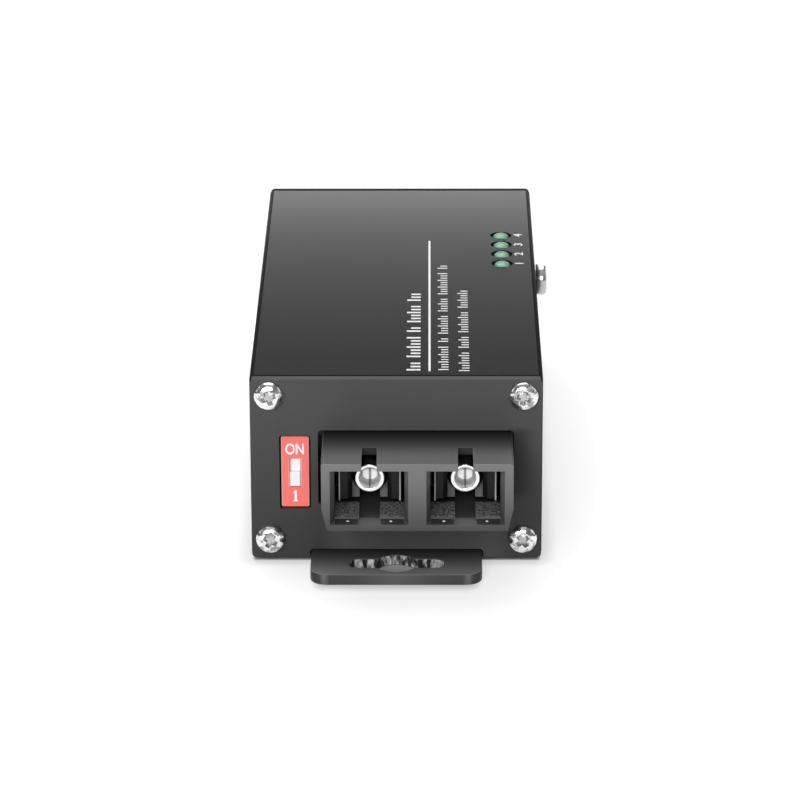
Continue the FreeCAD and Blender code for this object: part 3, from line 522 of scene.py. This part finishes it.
# %% Cover every solid
slot_of = {}
for name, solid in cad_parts.items():
    for place in solid.material_slots:
        plain_name = place.material.name.split(".")[0] if place.material else ""
        slot_of.setdefault(name, plain_name)
        if slot_of[name] in finishes:
            place.material = finishes[slot_of[name]].owner
print("without a finish", sorted(n for n in slot_of if slot_of[n] not in finishes))

# %% [markdown]
# ## The studio
#
# The floor is white paper. To the camera it must be plain white and still keep the soft shadow
# below the box, so its material adds a little light of its own for camera rays, and for the
# reflections in metal, to a paper that is really lit. The world is a dim room, brighter above and
# in front, and to the camera it is white too, so that views from low down have the same ground.

# %% Paper that shows white
paper_material = bpy.data.materials.new("paper")
paper_material.use_nodes = True
paper_material.node_tree.nodes.clear()
paper = Finish(paper_material)
paper_glow = 0.6
rays = [paper.node("ShaderNodeLightPath", output=f"Is {kind} Ray")
        for kind in ("Camera", "Glossy", "Transmission")]
lit_share = paper.maths("MINIMUM", rays[0] + rays[1] + rays[2], 1.0)
floor_x, floor_y = paper.parts(paper.place())[:2]

# %% [markdown]
# ## The shadow under the box
#
# The paper's own light would wash out the shadow right where the box and the bar stand, so it is
# cut there, and the cut reaches past their edges as a painted shadow on the paper. It comes back in
# two steps, quickly at the edge and then slowly, by the distance from an inner rectangle of the bar
# and of the box.

# %% Less glow near the bar and the box
bar_inset_x, bar_inset_y = 2.0, 1.5
sideways = 1.8
out_x = sideways * paper.above_zero(abs(floor_x) - (bar_high.x - bar_inset_x) * MM)
out_y = paper.above_zero(abs(floor_y) - (bar_high.y - bar_inset_y) * MM)
from_bar = paper.maths("SQRT", out_x * out_x + out_y * out_y)
# Painted shadow round the bar
clear_of_bar = paper.along(from_bar, 1.05, 1.4, 0.0, 0.47)
clear_of_bar += paper.along(from_bar, 1.4, 4.4, 0.0, 0.53)

box_inset = 0.6
past_x = paper.above_zero(abs(floor_x) - (case_high.x - box_inset) * MM)
past_y = paper.above_zero(abs(floor_y) - (panel_high.y - box_inset) * -MM)
from_box = paper.maths("SQRT", past_x * past_x + past_y * past_y)
# Painted shadow round the box
clear_of_box = paper.along(from_box, 0.0, box_inset, 0.0, 0.72)
clear_of_box += paper.along(from_box, box_inset, 3.4, 0.0, 0.28)

# %% Floor
own_light = lit_share * paper_glow * clear_of_bar * clear_of_box
paper_light = paper.node("ShaderNodeEmission", None, {"Color": (1, 1, 1), "Strength": own_light})
paper_tone = paper.mix(lit_share, (0.3, 0.3, 0.3), (0.45, 0.45, 0.45))
paper_sheet = paper.node("ShaderNodeBsdfDiffuse", None, {"Color": paper_tone})
paper_sum = paper.node("ShaderNodeAddShader", None, {0: paper_light, 1: paper_sheet})
paper.node("ShaderNodeOutputMaterial", None, {"Surface": paper_sum})

floor_shape = bmesh.new()
bmesh.ops.create_grid(floor_shape, x_segments=2, y_segments=2, size=2.0)
floor_mesh = as_mesh("floor", floor_shape)
floor_mesh.materials.append(paper_material)
floor = new_object("floor", floor_mesh)
floor_drop = 0.02
floor.location.z = -floor_drop * MM

# %% World
world = bpy.data.worlds.new("studio")
world.use_nodes = True
bpy.context.scene.world = world
sky = Finish(world)
room = world.node_tree.nodes["Background"]
to_camera = sky.node("ShaderNodeLightPath", output="Is Camera Ray")
toward_rear, toward_sky = sky.parts(sky.node("ShaderNodeTexCoord", output="Generated"))[1:]
in_front = sky.above_zero(0.0 - toward_rear)
overhead = sky.above_zero(toward_sky)
room_level = 0.05 + 0.55 * overhead * overhead + 0.3 * in_front
room.inputs["Color"].default_value = (1, 1, 1, 1)
sky.feed(room.inputs["Strength"], to_camera * (1.0 - room_level) + room_level)
bpy.context.scene.view_settings.view_transform = "Standard"

# %% [markdown]
# ## The lights
#
# An area light's power is spread over its face, so a large one looks dimmer than a small one. Here
# each is set by how bright its face looks: a brightness of 1 is as bright as white paper.

# %% Area lights
def soft_light(name, place, at, width, height, brightness):
    """A flat light at place, in millimetres, that faces the point at."""
    lamp = bpy.data.lights.new(name, "AREA")
    lamp.shape = "RECTANGLE"
    lamp.size = width * MM
    lamp.size_y = height * MM
    lamp.energy = brightness * math.pi * width * height * MM * MM
    made = new_object(name, lamp)
    way = (Vector(at) - Vector(place)).normalized()
    turned = way.to_track_quat("-Z", "Y").to_matrix().to_4x4()
    made.matrix_world = Matrix.Translation(Vector(place) * MM) @ turned
    made.visible_camera = False


soft_light("front_box", (-120, -600, 290), (0, -40, 10), 500, 300, 6.4)
soft_light("top_box", (-60, 260, 600), (0, 0, 0), 600, 500, 3.0)
soft_light("left_box", (-650, 0, 320), (0, 0, 10), 400, 400, 0.8)
soft_light("right_box", (650, 0, 320), (0, 0, 10), 400, 400, 0.8)
soft_light("rear_card", (0, 62, 26), (0, 0, 26), 160, 20, 2.4)

# %% [markdown]
# ## Making a piece
#
# A new piece starts as a bmesh in millimetres, which keeps its numbers easy to read. Finishing it
# turns it into metres, makes it an object at the origin, covers it, and joins it to the body that
# it moves with. Round surfaces are made of many narrow faces and must look smooth, while a broad
# flat face must stay flat right up to its edge. So an edge is sharp where its faces meet at a
# wide angle, or where one of them is broad.

# %% From a bmesh to a piece
broad_from = 0.3
sharp_angle = 25


def is_broad(face):
    """Whether a face is wide, unlike the narrow strips of a rounded edge."""
    return face.calc_area() > broad_from * face.calc_perimeter()


def looks_smooth(edge):
    """Whether the light should run smoothly across this edge."""
    if len(edge.link_faces) != 2:
        return False
    angle = math.degrees(edge.calc_face_angle())
    return angle < sharp_angle and not any(is_broad(face) for face in edge.link_faces)


def finish_piece(name, shape, cover, *stands_for, body="case", also=()):
    """Make shape an object that rides on body, and hide the solids that it stands for."""
    for face in shape.faces:
        face.smooth = not is_broad(face)
    for edge in shape.edges:
        edge.smooth = looks_smooth(edge)
    bmesh.ops.scale(shape, vec=(MM, MM, MM), verts=shape.verts)
    mesh = as_mesh(name, shape)
    for finish_name in (cover, *also):
        mesh.materials.append(finishes[finish_name].owner)
    piece = new_object(name, mesh)
    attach(piece, body)
    if stands_for:
        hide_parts(*stands_for)


# %% [markdown]
# ## Tools for shapes
#
# A few tools cover most of the work: a box between two corners, a profile spun about an axis,
# several shapes as one, a shape carved by another with the Boolean modifier, and a narrow bevel.
# Real edges always catch a thin line of light, so nearly every piece is rounded in the end.

# %% Box, spin, gather
def box_shape(x, y, z):
    """A box between two values on each axis, in millimetres."""
    shape = bmesh.new()
    bmesh.ops.create_cube(shape, size=1.0)
    spans = [Vector(span) for span in (x, y, z)]
    bmesh.ops.scale(shape, vec=[span[1] - span[0] for span in spans], verts=shape.verts)
    bmesh.ops.translate(shape, vec=[(span[0] + span[1]) / 2 for span in spans], verts=shape.verts)
    return shape


def spun_shape(profile, steps=48):
    """A closed outline of (radius, height) corners, spun about the upright axis."""
    shape = bmesh.new()
    points = [shape.verts.new((radius, 0, height)) for radius, height in profile]
    lines = [shape.edges.new(pair) for pair in zip(points, points[1:] + points[:1])]
    bmesh.ops.spin(shape, geom=points + lines, cent=(0, 0, 0), axis=(0, 0, 1), dvec=(0, 0, 0),
                   angle=2 * math.pi, steps=steps, use_merge=True, use_duplicate=False)
    bmesh.ops.remove_doubles(shape, verts=shape.verts, dist=1e-5)
    loose = [edge for edge in shape.edges if not edge.link_faces]
    bmesh.ops.delete(shape, geom=loose, context="EDGES")
    bmesh.ops.recalc_face_normals(shape, faces=shape.faces)
    return shape


def gathered(shapes):
    """Several shapes as one."""
    whole = bmesh.new()
    for shape in shapes:
        part = as_mesh("part", shape)
        whole.from_mesh(part)
        bpy.data.meshes.remove(part)
    return whole


def stood(shape, foot, axis, spin=0.0):
    """Turn an upright shape about itself, point it along an axis and stand it on a foot."""
    turn = Vector(axis).to_track_quat("Z", "Y").to_matrix().to_4x4()
    place = Matrix.Translation(foot) @ turn @ Matrix.Rotation(math.radians(spin), 4, "Z")
    bmesh.ops.transform(shape, matrix=place, verts=shape.verts)
    return shape


# %% Carve and round
def shape_of(thing):
    """The shape that an object shows, as a bmesh. The object itself is removed."""
    shown = thing.evaluated_get(bpy.context.evaluated_depsgraph_get())
    mesh = bpy.data.meshes.new_from_object(shown)
    shape = bmesh.new()
    shape.from_mesh(mesh)
    bpy.data.meshes.remove(mesh)
    bpy.data.objects.remove(thing)
    return shape


def carved(shape, cutter, joining="DIFFERENCE"):
    """A shape without what the cutter takes out of it, or with it if joining is UNION."""
    kept, tool = [new_object("part", as_mesh("part", part)) for part in (shape, cutter)]
    cut = kept.modifiers.new("cut", "BOOLEAN")
    cut.operation = joining
    cut.solver = "EXACT"
    cut.object = tool
    result = shape_of(kept)
    bpy.data.objects.remove(tool)
    return result


def rounded(shape, width, segments=2, sharper_than=30):
    """Round every edge whose faces meet at more than this angle."""
    sharp = [edge for edge in shape.edges
             if len(edge.link_faces) == 2 and edge.calc_face_angle() > math.radians(sharper_than)]
    bmesh.ops.bevel(shape, geom=sharp, offset=width, offset_type="OFFSET", segments=segments,
                    profile=0.5, affect="EDGES", clamp_overlap=True, material=-1)
    return shape


def copied(node):
    """A solid's own surface in millimetres, with its triangles merged into whole faces."""
    shape = bmesh.new()
    shape.from_mesh(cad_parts[node].data)
    bmesh.ops.scale(shape, vec=(1 / MM, 1 / MM, 1 / MM), verts=shape.verts)
    bmesh.ops.remove_doubles(shape, verts=shape.verts, dist=0.0005)
    bmesh.ops.dissolve_limit(shape, angle_limit=math.radians(0.5), verts=shape.verts, edges=shape.edges)
    return shape


# %% [markdown]
# ## Rounded copies of the solids
#
# The case, the panels, the bar and most of the mouldings already have the right shape. What they
# lack is the small radius that every real edge has, so each is copied, rounded and covered. The
# power terminal's plug, its two slotted screws and their cages move, so they ride on their own
# bodies.

# %% Copies with rounded edges
def round_copy(node, width, body="case", cover=None):
    """A copy of a solid with round edges, in the solid's own finish unless there is a cover."""
    shape = rounded(copied(node), width)
    finish_piece(f"{node}_rounded", shape, cover or slot_of[node], node, body=body)


edge_widths = {
    "module_cover": 0.15,
    "jack_shield": 0.06,
    "jack_housing": 0.06,
    "terminal_header": 0.12,
    "ground_flat_washer": 0.08,
    "ground_lock_washer": 0.08,
    "lamp_block": 0.1,
    "latch_insert_left": 0.07,
    "latch_insert_right": 0.07,
}
for node, width in edge_widths.items():
    round_copy(node, width)
round_copy("terminal_plug", 0.18, "power_plug")
for side in sides:
    round_copy(f"clamp_screw_{side}", 0.06, f"clamp_screw_{side}")
    round_copy(f"clamp_cage_{side}", 0.06, f"clamp_cage_{side}", "pin_tin")

# %% [markdown]
# ## The case
#
# The tube's flat faces are satin, but its corners are painted darker and shine much less, a painted
# shade that shows them as dark lines. The narrow faces of the rounded copy are those corners, so they
# get a second finish of their own.

# %% Case with dull corners
case_shape = rounded(copied("case_extrusion"), 0.12)
# The narrow corner faces get case_corner, a painted shade
for face in case_shape.faces:
    face.material_index = 0 if is_broad(face) else 1
finish_piece("case_extrusion_rounded", case_shape, "case_black", "case_extrusion", also=["case_corner"])

# %% [markdown]
# ## The panels
#
# The panels are coated plates with windows for the ports and the switch. The front one's edges are
# rounded the most, and its top edge shows as a pale line, a painted highlight. At its sides and foot,
# and on the rear panel's top edge, the finish is painted darker and is nearly without gloss, as
# painted shade.

# %% Panels
edge_width = 0.3
front_shape = rounded(copied("front_panel"), 0.32, 3)
# Painted shade on the outer edges at the sides and foot
for face in front_shape.faces:
    middle = face.calc_center_median()
    outer = abs(middle.x) > panel_high.x - edge_width or middle.z < panel_low.z + edge_width
    face.material_index = 1 if outer and not is_broad(face) else 0
finish_piece("front_panel_rounded", front_shape, "panel_black", "front_panel", also=["case_corner"])
rear_shape = rounded(copied("rear_panel"), 0.25)
# Painted shade on the rear panel's top edge
for face in rear_shape.faces:
    on_top = face.normal.z > 0.2 and face.calc_center_median().z > top_z - 1.0
    face.material_index = 1 if on_top else 0
finish_piece("rear_panel_rounded", rear_shape, "panel_black", "rear_panel", also=["case_corner"])

# %% [markdown]
# ## The mounting bar
#
# The bar's coat is black, but the keyholes were punched after it was coated, so their walls are
# torn bare metal.

# %% Bar with bare keyholes
keyhole_y = 45.2
keyhole_half_width, keyhole_half_length = 7.4, 3.2
bar_shape = rounded(copied("mounting_bar"), 0.16)
for face in bar_shape.faces:
    middle = face.calc_center_median()
    near_keyhole = abs(middle.x) < keyhole_half_width and abs(abs(middle.y) - keyhole_y) < keyhole_half_length
    face.material_index = 1 if near_keyhole and abs(face.normal.z) < 0.3 else 0
finish_piece("mounting_bar_rounded", bar_shape, "bar_black", "mounting_bar", also=["keyhole_metal"])

# %% [markdown]
# ## Screw heads
#
# A pan head is a low dome with a flat middle, and a cross recess is two tapered blades crossed.
# The profile is spun, and the recess is carved out of it. Each screw was driven home at its own
# angle, so no two crosses stand alike. The ground screw has a flatter head with upright sides.

# %% Screw head with a cross recess
def cross_cutter(reach, depth, blade):
    """Two crossed blades that narrow as they go down from height 0."""
    blades = []
    for quarter in (0, 90):
        made = box_shape((-reach, reach), (-blade / 2, blade / 2), (-depth, depth))
        tips = [vert for vert in made.verts if vert.co.z < 0]
        bmesh.ops.scale(made, vec=(0.42, 0.7, 1), verts=tips)
        blades.append(stood(made, (0, 0, 0), (0, 0, 1), quarter))
    return carved(blades[0], blades[1], "UNION")


# Outlines of the two heads, as shares of the radius and of the height
low_dome = [(1.0, 0.0), (1.0, 0.16), (0.975, 0.36), (0.9, 0.6), (0.77, 0.8), (0.58, 0.93), (0.3, 0.99)]
flat_dome = [(0.97, 0.0), (1.0, 0.1), (1.0, 0.62), (0.985, 0.76), (0.94, 0.88), (0.86, 0.96), (0.7, 0.99)]
cross_reach, cross_depth, cross_blade = 0.72, 0.6, 0.4


def cross_head(radius, height, shank_radius, shank_length, dome):
    """A screw that stands on its seat, with its head above height 0."""
    profile = [(0, -shank_length), (shank_radius, -shank_length), (shank_radius, 0)]
    profile += [(radius * across, height * up) for across, up in dome] + [(0, height)]
    head = spun_shape(profile)
    cutter = cross_cutter(radius * cross_reach, height * cross_depth, radius * cross_blade)
    bmesh.ops.translate(cutter, vec=(0, 0, height), verts=cutter.verts)
    for face in cutter.faces:
        face.material_index = 1
    return rounded(carved(head, cutter), 0.035, 2, 35)


# %% Panel screws
screw_radius = 1.95
screw_height = 1.1
screw_fuller = 0.07
thread_radius, thread_length = 1.0, 7.0


def screw_places(node):
    """The middle of each screw of a panel, from the solid's own four corners."""
    low, high = corners(node)
    across = (low.x + screw_radius, high.x - screw_radius)
    upward = (low.z + screw_radius, high.z - screw_radius)
    return [(x, z) for x in across for z in upward]


def panel_screws(node, panel_face, outward, turns):
    """The four screws of a panel, each turned by its own angle."""
    screws = []
    for (x, z), turned in zip(screw_places(node), turns):
        screw = cross_head(screw_radius + screw_fuller, screw_height, thread_radius, thread_length, low_dome)
        screws.append(stood(screw, (x, panel_face, z), outward, turned))
    finish_piece(f"{node}_rounded", gathered(screws), "screw_chrome", node, also=["recess_grey"])


panel_screws("front_screws", panel_low.y, (0, -1, 0), (62, 20, 38, 74))
panel_screws("rear_screws", corners("rear_panel")[1].y, (0, 1, 0), (15, 55, 80, 33))
print("panel screws", [round(v, 2) for v in screw_places("front_screws")[0]])

# %% Ground screw
ground_low, ground_high = corners("ground_screw")
ground_middle = (ground_low + ground_high) / 2
ground_radius = (ground_high.z - ground_low.z) / 2
ground_fuller = 0.1
ground_thread_radius, ground_thread_length = 1.25, 5.0
ground_seat = corners("ground_lock_washer")[1].x
ground_head = cross_head(ground_radius + ground_fuller, ground_high.x - ground_seat,
                         ground_thread_radius, ground_thread_length, flat_dome)
stood(ground_head, (ground_seat, ground_middle.y, ground_middle.z), (1, 0, 0), 25)
finish_piece("ground_screw_rounded", ground_head, "screw_steel", "ground_screw", also=["recess_grey"])
print("ground screw at", [round(v, 2) for v in ground_middle])

# %% [markdown]
# ## The slide switch
#
# The switch is a red block with a white slider in a slot. Behind the slider lies a white tongue
# that fills the floor of the slot, so the slot looks white where the slider isn't. The slider's
# knob stands slightly out of the block, and throws a small shadow on it. The block's round edges
# have a painted highlight at its sides and painted shade, a deeper red, on top, and its faces behind
# the front are painted the same deep red as shade.

# %% Switch block and slider
dip_low, dip_high = corners("dip_body")
knob_low, knob_high = corners("dip_slider")
front_depth = 0.3
tongue_thickness = 0.9
tongue_gap = 0.05
slot_height = 4.0
block = rounded(copied("dip_body"), 0.14)
# Painted light and shade: pale edges at the sides, deep red on top and behind the front
for face in block.faces:
    at_front = face.calc_center_median().y < dip_low.y + front_depth
    if not at_front:
        face.material_index = 2
    elif not is_broad(face) and abs(face.normal.x) > 0.3:
        face.material_index = 1
    elif not is_broad(face) and face.normal.z > 0.3:
        face.material_index = 2
finish_piece("dip_body_rounded", block, "switch_red", "dip_body", also=["switch_edge", "switch_deep"])
knob_across = (knob_low.x, knob_high.x)
tongue_face = knob_high.y - tongue_thickness
knob = box_shape(knob_across, (knob_low.y, tongue_face - tongue_gap), (knob_low.z, knob_high.z))
finish_piece("dip_slider_knob", rounded(knob, 0.14, 3), "slider_white", "dip_slider", body="switch_slider")
slot_foot = knob_low.z - tongue_gap
tongue = box_shape(knob_across, (tongue_face, knob_high.y), (slot_foot, slot_foot + slot_height))
finish_piece("dip_slot_floor", rounded(tongue, 0.03), "slider_white")
print("switch", [round(v, 2) for v in dip_high - dip_low])

# %% [markdown]
# ## Lettering
#
# Letters and digits come from a Text object that is made into a mesh, so they are crisp at any
# size, and as thin as printed ink. The switch is marked with ON and with a 1 that has a foot, which
# is three bars joined.

# %% Words as thin plates
ink_depth = 0.02


def lettering(words, height, middle, across, up, widen=1.0, bolder=0.0):
    """Words as a thin plate, with their middle, their reading direction and their up direction."""
    curve = bpy.data.curves.new("words", "FONT")
    curve.body = words
    curve.size = 1.0
    curve.offset = bolder
    curve.extrude = 0.5
    shape = shape_of(new_object("words", curve))
    lows = Vector([min(vert.co[axis] for vert in shape.verts) for axis in range(3)])
    highs = Vector([max(vert.co[axis] for vert in shape.verts) for axis in range(3)])
    bmesh.ops.translate(shape, vec=-(lows + highs) / 2, verts=shape.verts)
    size = height / (highs.y - lows.y)
    bmesh.ops.scale(shape, vec=(size * widen, size, ink_depth), verts=shape.verts)
    across, up = Vector(across), Vector(up)
    turn = Matrix((across, up, across.cross(up))).transposed().to_4x4()
    bmesh.ops.transform(shape, matrix=Matrix.Translation(middle) @ turn, verts=shape.verts)
    return shape


# %% ON and 1
ink_sunk = 0.005
mark_y = dip_low.y - ink_depth / 2 + ink_sunk
mark_depth = (mark_y - ink_depth / 2, mark_y + ink_depth / 2)
dip_middle = (dip_low.x + dip_high.x) / 2
on_height, on_level = 1.6, 16.08
one_foot, one_head = 8.5, 10.1
on_place = (dip_middle - 0.04, mark_y, on_level)
on_word = lettering("ON", on_height, on_place, (1, 0, 0), (0, 0, 1), 0.75, 0.018)
stem = box_shape((dip_middle - 0.12, dip_middle + 0.18), mark_depth, (one_foot, one_head))
foot = box_shape((dip_middle - 0.28, dip_middle + 0.34), mark_depth, (one_foot, one_foot + 0.18))
flag = box_shape((-0.24, 0.24), mark_depth, (-0.09, 0.09))
slant = Matrix.Rotation(math.radians(-38), 3, "Y")
bmesh.ops.rotate(flag, cent=(0, 0, 0), matrix=slant, verts=flag.verts)
bmesh.ops.translate(flag, vec=(dip_middle - 0.06, 0, one_head - 0.24), verts=flag.verts)
one = carved(carved(stem, foot, "UNION"), flag, "UNION")
finish_piece("switch_marks", gathered([on_word, one]), "mark_white")

# %% [markdown]
# ## Print on the top
#
# The maker's print is white ink. Its rule is kept, and beside it stand groups of plain ticks, as on
# a ruler, of the same height and length, with no words. The lamps are numbered from 1 to 4.

# %% Ink on the top
shorter_by = 0.3
space_between_groups = 2.2


def ink_bar(x, y):
    """A flat rectangle of ink on the top, between two x and two y places."""
    return box_shape(x, y, (top_z - ink_sunk, top_z - ink_sunk + ink_depth))


def ink_row(x, start, end, groups, tick, gap):
    """Groups of ticks between two y places; every third tick of a group reaches full height."""
    bars = []
    y = start
    turn = 0
    while y + tick < end:
        for count in range(groups[turn % len(groups)]):
            if y + tick > end:
                break
            low_x = x[0] if count % 3 == 0 else x[0] + shorter_by * (x[1] - x[0])
            bars.append(ink_bar((low_x, x[1]), (y, y + tick)))
            y += tick + gap
        y += space_between_groups * gap
        turn += 1
    return bars


rule = [ink_bar((4.31, 4.61), (-37.96, 15.73))]
heavy_row = ink_row((1.35, 3.24), -37.7, -7.0, (3, 7, 2, 6), 0.55, 0.66)
long_row = ink_row((5.62, 7.0), -37.5, 5.2, (10, 2, 8, 6), 0.33, 0.62)
short_row = ink_row((8.38, 9.8), -37.9, -5.1, (8, 5, 9), 0.33, 0.62)
finish_piece("top_print", gathered(rule + heavy_row + long_row + short_row), "print_white")

# %% Lamp numbers
numbers = []
numbers_x = 17.35
for number in range(1, 5):
    lamp_low, lamp_high = corners(f"lamp_{number}")
    middle = (numbers_x, (lamp_low.y + lamp_high.y) / 2, top_z - ink_sunk + ink_depth / 2)
    numbers.append(lettering(str(number), 1.25, middle, (0, 1, 0), (-1, 0, 0), 1.5, 0.015))
finish_piece("lamp_numbers", gathered(numbers), "print_white")
print("lamps", len(numbers))

# %% [markdown]
# ## The lamps
#
# Each lamp is a small dome of clear green plastic that stands in a round hole. A dome is half of a
# sphere on a short cylinder, so its profile is a line and an arc, which is spun.

# %% Lamp domes
lamp_radius, dome_rise, dome_higher = 1.32, 0.95, 0.42
collar_radius, collar_height = 1.6, 0.9
for number in range(1, 5):
    lamp_low, lamp_high = corners(f"lamp_{number}")
    middle = (lamp_low + lamp_high) / 2
    tall = lamp_high.z - lamp_low.z + dome_higher
    collar = [(0, 0), (collar_radius, 0), (collar_radius, collar_height), (lamp_radius, collar_height)]
    slopes = [math.radians(degrees) for degrees in range(0, 90, 10)]
    arc = [(lamp_radius * math.cos(slope), tall - dome_rise + dome_rise * math.sin(slope))
           for slope in slopes]
    bulb = spun_shape(collar + arc + [(0, tall)])
    stood(bulb, (middle.x, middle.y, lamp_low.z), (0, 0, 1))
    finish_piece(f"lamp_{number}_dome", bulb, "lamp_green", f"lamp_{number}")

# %% [markdown]
# ## The fibre port
#
# The port is one moulding with two square sockets and a keyway in the roof of each. The rear wall of
# a keyway gets no light, so it is painted a black of its own, as painted shade.

# %% Port moulding
housing = rounded(copied("port_housing"), 0.1)
for face in housing.faces:
    middle = face.calc_center_median()
    # The rear wall of each keyway gets keyway_black, a painted shade
    in_roof = middle.z > port_high.z - 1.2 and middle.y > port_low.y + 1.0
    face.material_index = 1 if in_roof and face.normal.y < -0.5 else 0
finish_piece("port_housing_rounded", housing, "port_black", "port_housing", also=["keyway_black"])

# %% [markdown]
# ## Inside the sockets
#
# Between the arms stand two paler plates, cut round for the barrel, and a thin pale strip down each
# arm is a painted highlight on its edge. On the floor lie two knurled pads with a smooth strip
# between them. In front of the pads the floor is bare and dark, with two small bright pins in it.
# These are thin plates laid on the moulding, each with its own finish. Each socket is the same on
# its left and its right hand.

# %% Places in the sockets
port_face = port_low.y
socket_floor = 10.11
pad_top = socket_floor + 0.28
strip_half_width, middle_half = 1.37, 1.3
plate_depth = (port_face + 8.5, port_face + 9.1)
edge_depth = (port_face + 6.0, port_face + 6.6)
pad_depth = (port_face + 2.25, port_face + 7.35)
bare_depth = (port_face + 0.3, port_face + 2.15)
middle_depth = (port_face + 2.6, port_face + 13.6)
plate_across, plate_drop, plate_rise = (1.35, 2.8), 3.3, 0.1
edge_across, edge_drop, edge_rise = (3.93, 4.13), 2.8, 3.6
pad_across, bare_across = (strip_half_width, 4.6), (1.5, 4.55)
hole_radius, hole_depth = 2.5, 3.0
pin_across, pin_setback = 2.85, 1.3
sheet, sunk = 0.05, 0.02
hands = (-1, 1)


def on_hand(hand, x, distances):
    """The two x places at these distances from x on one hand, the lower one first."""
    return sorted(x + hand * distance for distance in distances)


def socket_axis(side):
    """The x and the height of a socket's axis."""
    low, high = corners(f"sleeve_barrel_{side}")
    return (low.x + high.x) / 2, (low.z + high.z) / 2


# %% Plates and bright edges
hole_profile = [(0, 0), (hole_radius, 0), (hole_radius, hole_depth), (0, hole_depth)]
for side in sides:
    x, axis_z = socket_axis(side)
    hole = stood(spun_shape(hole_profile), (x, plate_depth[0] - 1.0, axis_z), (0, 1, 0))
    plate_height = (axis_z - plate_drop, axis_z + plate_rise)
    halves = [box_shape(on_hand(hand, x, plate_across), plate_depth, plate_height) for hand in hands]
    finish_piece(f"socket_plate_{side}", rounded(carved(gathered(halves), hole), 0.05), "plate_grey")
    edge_height = (axis_z - edge_drop, axis_z + edge_rise)
    # Painted highlight: a pale strip down the edge of each arm
    edges = [box_shape(on_hand(hand, x, edge_across), edge_depth, edge_height) for hand in hands]
    finish_piece(f"latch_edge_highlights_{side}", rounded(gathered(edges), 0.04), "edge_grey")

# %% Floor, pads and pins
pin_profile = [(0, 0), (0.2, 0), (0.2, 0.04), (0.15, 0.08), (0, 0.09)]
pad_level = (pad_top, pad_top + sheet)
floor_level = (socket_floor - sunk, socket_floor - sunk + sheet)
for side in sides:
    x = socket_axis(side)[0]
    grips = [box_shape(on_hand(hand, x, pad_across), pad_depth, pad_level) for hand in hands]
    floors = [box_shape(on_hand(hand, x, bare_across), bare_depth, floor_level) for hand in hands]
    floors.append(box_shape((x - middle_half, x + middle_half), middle_depth, floor_level))
    feet = [(x + hand * pin_across, port_face + pin_setback, socket_floor + sunk) for hand in hands]
    pins = [stood(spun_shape(pin_profile, 16), foot, (0, 0, 1)) for foot in feet]
    finish_piece(f"socket_grips_{side}", rounded(gathered(grips), 0.02, 1), "grip_black")
    finish_piece(f"socket_floor_{side}", gathered(floors), "floor_black")
    finish_piece(f"socket_pins_{side}", gathered(pins), "pin_white")

# %% [markdown]
# ## The barrels
#
# A polished metal barrel stands in the middle of each socket, with a thick bright rim. Inside it is
# a split ceramic sleeve, with the slit below, and in the sleeve the domed end of a ceramic rod.

# %% Barrels
barrel_radius, rim_bore, barrel_bore, rim_length = 1.95, 1.44, 1.62, 0.6
for side in sides:
    low, high = corners(f"sleeve_barrel_{side}")
    x, axis_z = socket_axis(side)
    length = high.y - low.y
    lip = [(rim_bore, 0.08), (rim_bore + 0.02, 0.02), (rim_bore + 0.07, 0),
           (barrel_radius - 0.07, 0), (barrel_radius - 0.02, 0.03), (barrel_radius, 0.09)]
    tube = [(barrel_radius, length), (barrel_bore, length), (barrel_bore, rim_length), (rim_bore, rim_length)]
    barrel = stood(spun_shape(lip + tube, 64), (x, low.y, axis_z), (0, 1, 0))
    finish_piece(f"sleeve_barrel_{side}_rim", barrel, "barrel_metal", f"sleeve_barrel_{side}")
print("barrel length", round(length, 2))

# %% Sleeves with their slit
sleeve_radius, sleeve_bore, sleeve_length = 1.6, 1.25, 6.8
slit_half = 0.07
for side in sides:
    x, axis_z = socket_axis(side)
    low, high = corners(f"split_sleeve_{side}")
    across = (x - slit_half, x + slit_half)
    # A dark strip in the slit, as painted shade
    strip = box_shape(across, (low.y + 0.05, high.y - 0.05), (axis_z - sleeve_radius, axis_z - 1.4))
    finish_piece(f"sleeve_gap_{side}", strip, "floor_black")
    sleeve = spun_shape([(sleeve_bore, 0.06), (sleeve_bore + 0.06, 0), (sleeve_radius, 0),
                         (sleeve_radius, sleeve_length), (sleeve_bore, sleeve_length)], 64)
    stood(sleeve, (x, low.y, axis_z), (0, 1, 0))
    slit = box_shape(across, (low.y - 1, high.y + 1), (axis_z - 2, axis_z))
    finish_piece(f"split_sleeve_{side}_ring", carved(sleeve, slit), "ceramic_grey", f"split_sleeve_{side}")

# %% Rods
rod_reach = 1.3
for side in sides:
    x, axis_z = socket_axis(side)
    low, high = corners(f"fibre_stub_{side}")
    radius = (high.z - low.z) / 2
    length = high.y - low.y + rod_reach
    domed_end = [(radius, 0.3), (radius - 0.04, 0.18), (radius - 0.25, 0.08), (radius - 0.6, 0.02)]
    rod = spun_shape([(0, length), (radius, length)] + domed_end + [(0, 0)])
    stood(rod, (x, low.y - rod_reach, axis_z), (0, 1, 0))
    finish_piece(f"fibre_stub_{side}_end", rod, "rod_white", f"fibre_stub_{side}")
